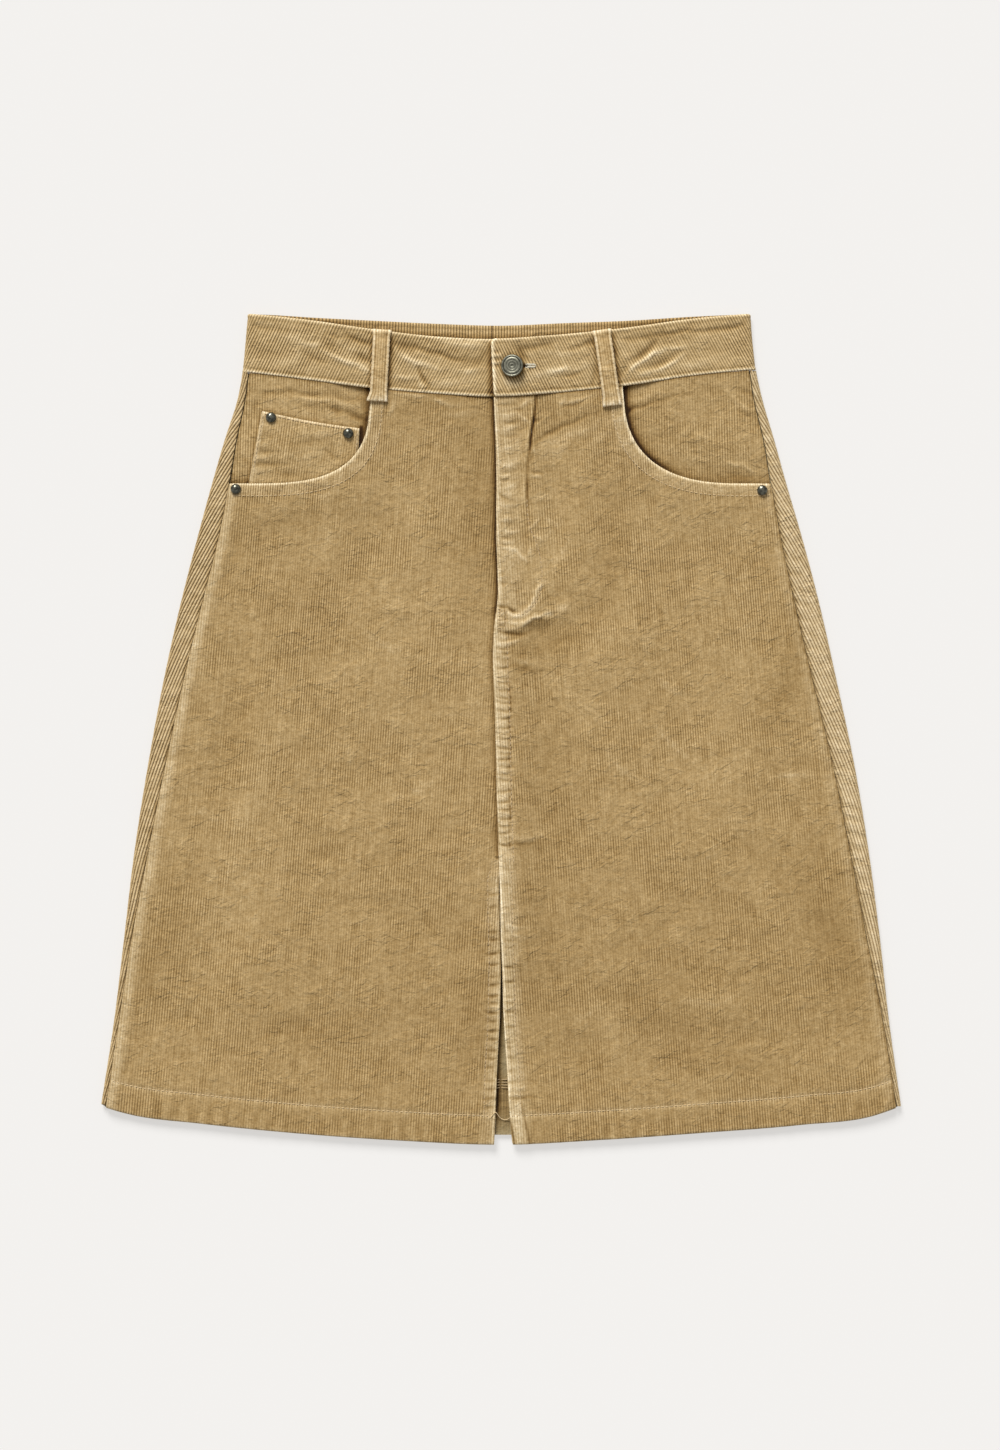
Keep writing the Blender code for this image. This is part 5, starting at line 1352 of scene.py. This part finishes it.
def band(side):
    radius = BAND_HIGH / 2.0
    def line(u, h):
        start, end = (26.5, 20.5) if side < 0 else (24.8, 22.4)
        lean = blend(start, end, ease(u / BAND_HALF))
        lean = blend(lean, 0.0, ease((u - 200.0) / 60.0))
        return u - h * np.tan(np.radians(lean))
    def free(a, h):
        x, _, turn, _ = band_place(side, a, h)
        end = np.where(turn <= 0.0, side * x - band_end(side, h), 9.0)
        return np.minimum(end, np.minimum(BAND_DEEP - h, h))
    def closed(x, behind):
        """The last line of each half meets the other half at the centre back."""
        return np.where((behind > 0.0) & (np.abs(x - CENTRE_BACK) < 0.75), CENTRE_BACK + side * 0.01, x)
    def outer(a, h, sink):
        x, y, turn, behind = band_place(side, a, h)
        lift = band_relief(side, x, y, h, turn) - rolled(free(a, h), 0.8, 1.4)
        top = band_high(side, x) + lift - sink
        reach = radius - sink + np.minimum(lift, 0.3)
        z = np.where(turn <= 0.0, top, radius + reach * np.cos(turn))
        z = np.maximum(np.where(behind > 0.0, np.maximum(-lift, 0.0) * 0.5 + sink, z), 0.0)
        return points(closed(x, behind) + np.where(behind > 0.0, 0.0, side * reach * np.sin(turn)), y, z)
    def inner(a, h, sink):
        x, y, turn, behind = band_place(side, a, h)
        reach = radius - DOUBLE + sink
        z = np.where(turn <= 0.0, band_high(side, x) - DOUBLE, radius + reach * np.cos(turn))
        back = DOUBLE - sink - rolled(np.minimum(BAND_DEEP - h, h), 0.8, 1.4)
        back = back - 0.3 * hump(BAND_DEEP - h - 4.0, 0.9) + 0.25 * hump(BAND_DEEP - h - 1.6, 1.4)
        z = np.where(behind > 0.0, back, z)
        return points(closed(x, behind) + np.where(behind > 0.0, 0.0, side * reach * np.sin(turn)), y, z)
    # Pale edges, tab end, buttonhole rim and crease ridges: partly wear, partly painted highlight.
    def paint_wear_and_highlight(a, h):
        x, y, turn, behind = band_place(side, a, h)
        front = turn <= 0.0
        wear_and_painted_highlight = hump(h - 0.5, 1.2) + 0.6 * hump(BAND_DEEP - h - 0.4, 1.1) * (behind <= 0.0)
        wear_and_painted_highlight = wear_and_painted_highlight + np.clip(creases(BAND_FOLDS, x, y), 0.0, 1.0) * (0.5 if side < 0 else 0.7) * front
        if side > 0:
            wear_and_painted_highlight = wear_and_painted_highlight + hump(x - band_end(side, h) - 1.0, 1.4) * front
            hole = np.maximum(np.abs(y - BUTTON_Y) - 0.7, 0.0) + np.maximum(x - HOLE_END, 0.0)
            wear_and_painted_highlight = wear_and_painted_highlight + 0.5 * hump(hole - 1.8, 1.0) * (x < HOLE_END + 4.0) * (x > 0.0) * front
        return wear_and_painted_highlight
    # Painted shade and painted highlights on the band: stitched grooves and pale edges, crease troughs and
    # ridges, shadows beside the belt loops, under the tab, round the button and in the buttonhole, and on
    # the inside behind the front's top edge.
    def shade(a, h, outside):
        x, y, turn, behind = band_place(side, a, h)
        from_top = BAND_DEEP - h
        front = turn <= 0.0
        dark = (0.26 * hump(h - 2.8, 1.0) - 0.36 * hump(h - 0.9, 0.9)) * front
        dark = dark + (0.10 * hump(from_top - 3.0, 1.0) - 0.16 * hump(from_top - 0.9, 0.9)) * front
        dark = dark - np.clip(0.42 * creases(BAND_FOLDS, x, y), -0.55, 0.32) * front
        # Painted shadow on both sides of each belt loop.
        for head, foot, _ in LOOPS.values():
            aside = x - blend(foot[0], head[0], (y - foot[1]) / (head[1] - foot[1]))
            beside = 0.62 * hump(-aside - 6.6, 1.6)
            beside = beside + (0.92 if x[0] < 0.0 else 0.82) * hump(aside - 6.8, 2.2)
            uneven = 0.72 + 0.28 * ripple(y, 15.0, 1.0)
            dark = dark + beside * ease((from_top - 2.0) / 4.0) * uneven * front
        if side < 0:
            # Painted shadow on the left band under the tab's end.
            under_tab = hump(np.maximum(TAB_END[1] + 1.0 - x, 0.0), 3.0)
            dark = dark + 0.78 * under_tab * ease((from_top - 1.0) / 4.0) * front
        else:
            # Painted shade in the buttonhole, painted shadow round the button, painted highlight on the
            # tab's end.
            hole = np.hypot(np.maximum(np.abs(y - BUTTON_Y) - 0.5, 0.0), np.maximum(x - HOLE_END, 0.0))
            dark = dark + 0.85 * hump(hole, 0.45) * (x > BUTTON_X) * front
            button = np.hypot(x - BUTTON_X, y - BUTTON_Y)
            dark = dark + 0.66 * hump(np.maximum(button - 7.6, 0.0), 1.5) * front
            dark = dark - 0.30 * hump(x - band_end(side, h) - 1.0, 1.1) * front
        # Inside of the back band: painted shadow below the front's top edge, a painted highlight along its
        # own top edge.
        inside = -0.13 + 0.52 * hump(from_top - 2.3, 0.9) + 0.16 * ease((from_top - 4.5) / 4.0)
        inside = inside - 0.26 * hump(from_top - 0.6, 0.7)
        inside = inside + 0.62 * np.exp(-np.maximum(y - edge("top", x), 0.0) / 2.4)
        inside = inside + 0.14 * hump(x - CENTRE_BACK, 1.6)
        return np.where(outside > 0.5, np.clip(dark - 0.06, -0.42, 0.93), inside * (behind > 0.0))
    last = BAND_HALF + math.pi * radius + BAND_HALF + 14.0
    return woven(
        "waistband_" + side_name(side) + "_cloth", wale_lines(-24.0, last, BAND_WALE), line,
        lambda a, h: band_inside(side, a, h), outer, inner,
        (0.0, BAND_DEEP), np.arange(0.0, BAND_DEEP, 1.0),
        lambda a, h: (a < BAND_HALF + 6.0) | (h % 2.0 == 0.0),
        lambda a, h: (h % 4.0 == 0.0) | ((a > BAND_HALF + 12.0) & (h > BAND_DEEP - 8.0)),
        paint_wear_and_highlight=paint_wear_and_highlight, shade=shade, pitch=BAND_WALE, plain=lambda a, h: 0.0 * a,
        inner_sink=lambda a, h: np.where(a > BAND_HALF + 12.0, 0.45, 0.0),
        crush=lambda a, h, flat: 0.5 * flat - 0.4 - 0.8 * (a > BAND_HALF + 12.0),
    )


band_cord = corduroy("corduroy_band", (0.54, 0.378, 0.178), (0.21, 0.138, 0.056), (0.73, 0.575, 0.335),
                     seed=11.0, hatched=0.35, pitch=BAND_WALE)
band_left = dress(band(-1), "waistband_left", material=band_cord)
band_right = dress(band(1), "waistband_right", material=band_cord)


# ------------------------------------------------------------------ belt loops
# Two folded straps of corduroy, each stitched along both edges, tucked under at both ends and sewn
# down over the waistband, bowed out a little between.
LOOP_WIDE, LOOP_THICK, LOOP_LOW, LOOP_ARCH = 12.2, 1.8, 7.05, 1.3
LOOP_FOLDS = (
    # across (less or more for each loop), down, heading, half length, half width, height
    (-146.5, 33, 25, 3.5, 1.1, -0.4), (-144.0, 12, 80, 6, 1.2, 0.25), (-147.5, 22, 70, 6, 1.2, -0.2),
    (-145.0, 45, 10, 4, 1.2, 0.35), (122.0, 15, 4, 5, 1.0, 0.35), (123.0, 17.2, 4, 5, 0.9, -0.4),
    (124.5, 26, -6, 4, 1.0, -0.35), (122.0, 28.5, 8, 4, 1.0, 0.4), (121.5, 36, 55, 5, 1.2, -0.3),
    (125.0, 41, 10, 3, 1.2, -0.5), (122.5, 46, 30, 4, 1.4, 0.35), (123.5, 9, 75, 5, 1.2, -0.25),
)


def belt_loop(name, head, foot, flare):
    (top_x, top_y), (low_x, low_y) = head, foot
    length = math.hypot(top_x - low_x, top_y - low_y)
    along = np.array(((low_x - top_x) / length, (low_y - top_y) / length))
    across = np.array((-along[1], along[0]))
    half = LOOP_WIDE / 2.0
    lines = wale_lines(-half, half)[1:-1] * WALE / 3.0
    lines = np.concatenate(([-half, -half + 0.12], lines, [half - 0.12, half]))
    run = np.unique(np.concatenate((np.arange(0.0, length, 1.3), (0.3, length - 0.3, length))))
    u, v = np.meshgrid(lines, run)
    share = v / length
    arch = ease(share / 0.2) * ease((1.0 - share) / 0.24)
    low = LOOP_LOW + LOOP_ARCH * arch - 0.3 * (1.0 - ease(share / 0.6))
    groove = np.isclose(np.round(u / WALE * 3) % 3, 0.0) & (np.abs(np.abs(u) - half) > 0.3)
    from_edge = half - np.abs(u)
    from_end = np.minimum(v, length - v)
    high = low + LOOP_THICK + 0.25 * np.cos(u / LOOP_WIDE * math.pi)
    high = high + 0.45 * hump(from_end - 3.0, 3.4) - 0.36 * hump(from_end - 6.6, 0.9)
    high = high - 0.3 * hump(from_edge - 2.0, 0.7)
    high = high + 0.12 * ripple(v, 5.1, 3.0) * hump(from_edge - 2.0, 2.0)
    high = high - 0.2 * groove - rolled(from_edge, 0.9, 1.2) - rolled(from_end, 0.8, 1.3)
    high = high + creases(LOOP_FOLDS, u + 1.7 * top_x, v)
    spread = 1.0 + 0.08 * ease((share - 0.82) / 0.18) + 0.10 * ease((0.10 - share) / 0.08)
    spread = spread + 0.035 * ripple(v, 3.4, 2.0 + np.sign(u)) * (np.abs(u) > half - 0.3)
    foot_flare = flare * ease((share - 0.86) / 0.14) * (u < 0.0) * -np.sign(flare)
    x = top_x + along[0] * v + across[0] * (u * spread + foot_flare)
    y = top_y + along[1] * v + across[1] * u * spread
    under = low + 0.3 * rolled(from_edge, 0.9, 1.2)
    piece = grid_solid(name + "_strap", points(x, y, high), points(x, y, under))
    lay_flat(piece, np.tile(u.ravel(), 2), np.tile(v.ravel(), 2))
    # Pale edges and ends: partly wear, partly painted highlight.
    wear_and_painted_highlight = (0.7 * hump(from_edge - 0.3, 1.2) + 0.5 * hump(from_end - 1.5, 2.6)).ravel()
    paint(piece, "wear_and_painted_highlight", np.concatenate((wear_and_painted_highlight, wear_and_painted_highlight * 0.0)))
    # Painted shade in the stitched grooves and crease troughs, painted highlights on the edges, ends and
    # crease ridges.
    dark = 0.30 * hump(v - 3.4, 1.0)
    dark = dark + 0.30 * hump(from_edge - 2.4, 0.9) * (0.6 + 0.5 * ripple(v, 4.0, 1.0))
    dark = dark - 0.28 * hump(from_edge - 0.7, 0.8) * (0.75 + 0.35 * ripple(v, 3.4, 2.0 + np.sign(u)))
    dark = dark - 0.25 * hump(from_end - 1.0, 1.2) - 0.5 * creases(LOOP_FOLDS, u + 1.7 * top_x, v)
    paint(piece, "painted_shade_and_tarnish", np.concatenate((dark.ravel(), dark.ravel() * 0.0)))
    return dress(piece, name, material=loop_cord)


loop_cord = corduroy("corduroy_loops", (0.55, 0.39, 0.19), (0.37, 0.24, 0.10), (0.84, 0.70, 0.46),
                     seed=19.0)
for name, sizes in LOOPS.items():
    belt_loop(name, *sizes)


# ------------------------------------------------------------------ button and rivets
# A tack button and four domed rivets of brass with a dark antique plating, rubbed brighter on their
# rings. The button's shank passes the buttonhole; each rivet clamps a pocket corner.
def gunmetal(name, dark, light, polish):
    material, shader, node, feed, number, tinted, speckle, bumped = start_material(name, Metallic=0.92)
    where = node("ShaderNodeTexCoord").outputs["Object"]
    patina = speckle(where, 520.0, 5.0)
    share = node("ShaderNodeMapRange")
    for key, value in (("Value", patina), ("From Min", 0.38), ("From Max", 0.66)):
        feed(share.inputs[key], value)
    # Darker with tarnish in the ring grooves and with painted shade low on the button's rim and the
    # rivets' foot.
    groove = node("ShaderNodeAttribute", attribute_name="painted_shade_and_tarnish").outputs["Fac"]
    toned = node("ShaderNodeVectorMath", operation="SCALE")
    feed(toned.inputs[0], tinted(share.outputs[0], dark, light))
    feed(toned.inputs["Scale"], number("SUBTRACT", 1.0, groove, clamp=True))
    feed(shader.inputs["Base Color"], toned.outputs[0])
    feed(shader.inputs["Roughness"], number("ADD", polish, number("MULTIPLY", patina, 0.2)))
    bumped(speckle(where, 2600.0), 0.12, 0.0002)
    return material


def turned(name, profile, centre, tilt=0.0, steps=64, pivot=3.0):
    """A lathed piece from radius and height points."""
    co, rings, deep = [], [], []
    # A third number darkens that ring: tarnish in grooves, painted shade low on a rim or foot.
    for radius, height, *tarnish_and_shade in profile:
        size = 1 if radius == 0.0 else steps
        rings.append(np.arange(len(co), len(co) + size))
        deep += (tarnish_and_shade or [0.0]) * size
        for k in range(size):
            turn = 2.0 * math.pi * k / steps
            co.append((radius * math.cos(turn), radius * math.sin(turn), height))
    faces = []
    for low, high in zip(rings, rings[1:]):
        for k in range(steps):
            corners = [low[k % len(low)], low[(k + 1) % len(low)], high[(k + 1) % len(high)],
                       high[k % len(high)]]
            faces.append(list(dict.fromkeys(int(c) for c in corners)))
    co = np.array(co)
    lean = -math.radians(tilt)
    moved = co.copy()
    tipped, above = (co[:, 2] > pivot) | (tilt == 0.0), co[:, 2] - pivot
    moved[:, 0] = np.where(tipped, co[:, 0] * math.cos(lean) + above * math.sin(lean), co[:, 0])
    moved[:, 2] = np.where(tipped, above * math.cos(lean) - co[:, 0] * math.sin(lean) + pivot, co[:, 2])
    piece = solid(name, moved + np.asarray(centre), faces, 50.0)
    paint(piece, "painted_shade_and_tarnish", deep)
    return piece


metal = gunmetal("antique_pewter", (0.19, 0.185, 0.14), (0.30, 0.29, 0.22), 0.34)
# Third numbers: painted shade on the lower rim, tarnish in the ring grooves.
button = turned("tack_button", (
    (0.0, 0.0), (2.1, 0.0), (2.1, 5.4), (6.9, 5.5, 0.7), (7.6, 5.9, 0.8), (8.0, 6.6, 0.75),
    (7.95, 7.1, 0.45), (7.7, 7.55, 0.0), (7.3, 7.82, -0.35), (6.95, 7.8, -0.1), (6.6, 7.5, 0.5),
    (6.3, 7.3, 0.72), (6.0, 7.42, 0.4), (5.6, 7.6, -0.1), (5.1, 7.66, -0.15), (4.6, 7.58, 0.0),
    (4.2, 7.4, 0.35), (3.9, 7.42, 0.25), (3.4, 7.55, -0.1), (2.9, 7.5, 0.0), (2.4, 7.3, 0.45),
    (2.1, 7.28, 0.4), (1.6, 7.42, -0.15), (1.1, 7.4, 0.1), (0.8, 7.25, 0.35), (0.0, 7.2, 0.1),
), (BUTTON_X, BUTTON_Y, BAND_HIGH - 0.2 + GAP), 7.0)
dress(button, "button", material=metal, slot="gunmetal")

dark_metal = gunmetal("dark_gunmetal", (0.06, 0.06, 0.045), (0.22, 0.215, 0.17), 0.16)
RIVETS = {
    "rivet_coin_outer": (-165.1, 223.6), "rivet_coin_inner": (-109.7, 212.4),
    "rivet_pocket_left": (-190.4, 172.3), "rivet_pocket_right": (187.6, 171.4),
}
for name in RIVETS:
    low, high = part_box(name)
    centre = ((low + high) / 2.0) / MM
    # Third numbers: painted shade low on the rivet's foot.
    rivet = turned(name + "_cap", (
        (0.0, 0.0), (3.4, 0.0), (3.72, 0.2, 0.5), (3.75, 0.45, 0.4), (3.6, 0.8, 0.2), (3.3, 1.15),
        (2.9, 1.5), (2.4, 1.82), (1.8, 2.08), (1.2, 2.24), (0.6, 2.32), (0.0, 2.35),
    ), (centre.x, centre.y, low.z / MM), 0.0, 48)
    dress(rivet, name, material=dark_metal, slot="gunmetal")


# ------------------------------------------------------------------ stitching
# Matching cotton topstitching, about three stitches to the centimetre, in rows along the turned edges
# and the felled seam, with a bar tack at the foot of the fly. Each thread dips into the cloth.
STITCH, STITCH_LONG, THREAD = 3.3, 2.75, 0.30
STEP = 0.25
UPWARD = np.array([[0.0, 0.0, 1.0]])


def thread_material(name, light, dark):
    material, shader, node, feed, number, tinted, speckle, bumped = start_material(
        name, Roughness=0.7, Sheen_Weight=0.25)
    where = node("ShaderNodeTexCoord").outputs["Object"]
    twist, drift = speckle(where, 1400.0), speckle(where, 60.0)
    share = number("ADD", number("MULTIPLY", twist, 0.6), number("MULTIPLY", drift, 0.45))
    feed(shader.inputs["Base Color"], tinted(share, dark, light))
    bumped(twist, 0.4, 0.0002)
    return material


def stitch_rows(name, rows, high, material, long=STITCH_LONG, pitch=STITCH):
    """Rows of separate stitches on a surface, joined in one object."""
    parts = []
    for knots in rows:
        line = smooth_path(knots, STEP)
        step, size = int(round(pitch / STEP)), int(round(long / STEP))
        for at in range(0, len(line) - size, step):
            spot = line[[at, at + size // 4, at + size // 2, at + 3 * size // 4, at + size]]
            z = high(spot[:, 0], spot[:, 1]) + np.array((-0.30, 0.10, 0.17, 0.10, -0.30))
            path = points(spot[:, 0], spot[:, 1], z)
            parts.append(tube(path, THREAD * np.array((0.45, 0.95, 1.0, 0.95, 0.45)), UPWARD))
    dress(lengthwise(name, parts, 80.0), material=material)


sewing_thread = thread_material("topstitch_thread", (0.58, 0.43, 0.23), (0.36, 0.24, 0.11))
pale_thread = thread_material("hem_thread", (0.68, 0.52, 0.29), (0.50, 0.35, 0.17))


def along_centre(side, away, low, high):
    y = np.linspace(low, high, 60)
    return np.stack((centre_edge(side, y) + side * away, y), axis=-1)


def along_hem(first, last):
    x = np.linspace(first, last, 60)
    return np.stack((x, edge("hem", x) + HEM_TURN), axis=-1)


def along_mouth(side):
    centre_x, centre_y, half_x, half_y, power = mouth_shape(side, MOUTH_STITCH)
    turn = np.linspace(0.02, math.pi / 2.0, 60)
    x = centre_x - side * half_x * np.cos(turn) ** (2.0 / power)
    y = centre_y - half_y * np.sin(turn) ** (2.0 / power)
    line = np.stack((x, y), axis=-1)[y < edge("waist", x) - 1.5]
    seam_x = float(level("seam_" + side_name(side), line[-1, 1])) - side * 2.0
    return np.concatenate((line, [[seam_x, line[-1, 1] + 0.4]]))


for side in (-1, 1):
    centre = float(centre_edge(side, -278.0)) + side * 1.5
    far = float(level("seam_" + side_name(side), -262.0)) - side * 2.0
    stitch_rows("stitching_front_" + side_name(side), [along_hem(centre, far), along_mouth(side)],
                lambda x, y: front_high(side, x, y), pale_thread)
    if side > 0:
        rows = [along_centre(1, SLIT_TURN, -276.0, -100.0), along_centre(1, FELL_STITCH, -96.0, 64.0),
                FLY_J[5:]]
        rows += [((-2.6, y), (3.2, y - 0.3)) for y in (86.2, 84.0, 81.3, 78.6, 75.8, 72.6)]
        rows += [((0.4, 86.5), (0.6, 71.5)), ((3.6, 85.0), (3.4, 71.5))]
    else:
        rows = [along_centre(-1, SLIT_TURN, -276.0, -101.0)]
    stitch_rows("stitching_centre_" + side_name(side), rows,
                lambda x, y: front_high(side, x, y) - 0.12, sewing_thread)

COIN_STITCH = 1.6
x = np.linspace(COIN_TOP[0][0] + 2.0, COIN_TOP[1][0] - 2.0, 30)
coin_rows = [np.stack((x, coin_top(x) - COIN_STITCH), axis=-1)]
for way in (0, 1):
    y = np.linspace(coin_top(COIN_TOP[way][0]) - 3.0, 186.0, 20)
    coin_rows.append(np.stack((coin_sides(y)[way] + (1 - 2 * way) * COIN_STITCH, y), axis=-1))
stitch_rows("stitching_coin_pocket", coin_rows, coin_high, sewing_thread)


def band_top(x, y):
    half = blend(HALF_WIDTH["waist"], HALF_WIDTH["top"], 0.5)
    low, high = band_edge("waist", x, half), band_edge("top", x, half)
    h = (y - low) / (high - low) * BAND_DEEP
    return band_high(1, x) + band_relief(1, x, y, h, np.zeros(np.shape(x)))


HOLE_LONG, PURLS = 7.4, 46
purl = []
for k in range(PURLS):
    at = k / (PURLS - 1.0) * 2.0 * HOLE_LONG
    along = HOLE_END - 1.0 + (at if at < HOLE_LONG else 2.0 * HOLE_LONG - at)
    way = 1.0 if at < HOLE_LONG else -1.0
    near_end = 1.0 - 0.75 * ease((along - 23.6) / 1.4)
    x = np.array((along, along + 0.15, along + 0.3))
    y = BUTTON_Y + 0.3 + way * np.array((0.15, 0.85, 1.55)) * near_end
    z = band_top(x, y) + np.array((-0.15, 0.5, -0.2))
    purl.append(tube(points(x, y, z), (0.16, 0.26, 0.16), UPWARD, 5))
dress(lengthwise("buttonhole_thread", purl, 80.0), material=thread_material(
    "buttonhole_thread", (0.70, 0.64, 0.50), (0.52, 0.46, 0.33)))

BACK_HEM_Y = -291.8
inside_rows = [((-14.0, BACK_HEM_Y + r), (14.0, BACK_HEM_Y + r)) for r in (33.6, 35.6, 37.6, 39.6)]
stitch_rows("stitching_back_hem", inside_rows, lambda x, y: 1.75 + 0.0 * x, sewing_thread,
            long=6.5, pitch=7.0)
loose = smooth_path(((-8.0, -279.6), (-5.6, -276.8), (-4.0, -275.2), (-2.6, -276.6), (-0.6, -279.4),
                     (2.4, -280.9), (5.4, -280.2), (7.6, -277.6)), 0.6)
loose_z = np.interp(loose[:, 0], (-8.0, -4.4, -2.4, 0.0, 4.6, 6.6, 7.6),
                    (6.2, 6.4, 5.6, 3.8, 3.8, 5.9, 6.3))
loose_tube = tube(points(loose[:, 0], loose[:, 1], loose_z), np.full(len(loose), 0.34), UPWARD)
dress(lengthwise("loose_hem_thread", [loose_tube], 80.0), material=pale_thread)


# ------------------------------------------------------------------ floor, light and camera
# A pale shooting table that glows a little from beneath, so that shadows stay light, one broad lamp
# from the waist side, and the camera straight above the skirt.
TABLE_HALF, TABLE_UNDER = 6.0, 0.0002
floor_data = bpy.data.meshes.new("floor")
corners = ((-1.0, -1.0), (1.0, -1.0), (1.0, 1.0), (-1.0, 1.0))
floor_data.from_pydata([(x * TABLE_HALF, y * TABLE_HALF, -TABLE_UNDER) for x, y in corners], [],
                       [(0, 1, 2, 3)])
floor = bpy.data.objects.new("floor", floor_data)
bpy.context.scene.collection.objects.link(floor)
floor_data.materials.append(start_material(
    "pale_paper", Base_Color=(0.30, 0.294, 0.287, 1.0), Emission_Color=(0.80, 0.785, 0.765, 1.0),
    Emission_Strength=0.70, Roughness=0.95, Specular_IOR_Level=0.0)[0])

LIGHT_FROM, SUN_STRENGTH, SUN_SPREAD, SKY_STRENGTH = Vector((-0.30, 1.0, 0.76)), 3.78, 26.0, 0.42
lamp = bpy.data.lights.new("key_light", "SUN")
lamp.energy = SUN_STRENGTH
lamp.angle = math.radians(SUN_SPREAD)
lamp_object = bpy.data.objects.new("key_light", lamp)
lamp_object.rotation_mode = "QUATERNION"
lamp_object.rotation_quaternion = LIGHT_FROM.to_track_quat("Z", "Y")
lamp_object.location = LIGHT_FROM * 2.0
bpy.context.scene.collection.objects.link(lamp_object)

sky = bpy.data.worlds.new("studio")
sky.use_nodes = True
sky.node_tree.nodes["Background"].inputs["Color"].default_value = (1.0, 1.0, 1.0, 1.0)
sky.node_tree.nodes["Background"].inputs["Strength"].default_value = SKY_STRENGTH
bpy.context.scene.world = sky
bpy.context.scene.view_settings.view_transform = "Standard"

CAMERA_HIGH = 2.465
camera_data = bpy.data.cameras.new("camera")
camera_data.lens = 85.0
camera_data.sensor_width = 36.0
camera = bpy.data.objects.new("camera", camera_data)
camera.location = (-0.0007, 0.0029, CAMERA_HIGH)
bpy.context.scene.collection.objects.link(camera)
bpy.context.scene.camera = camera

bpy.context.view_layer.update()
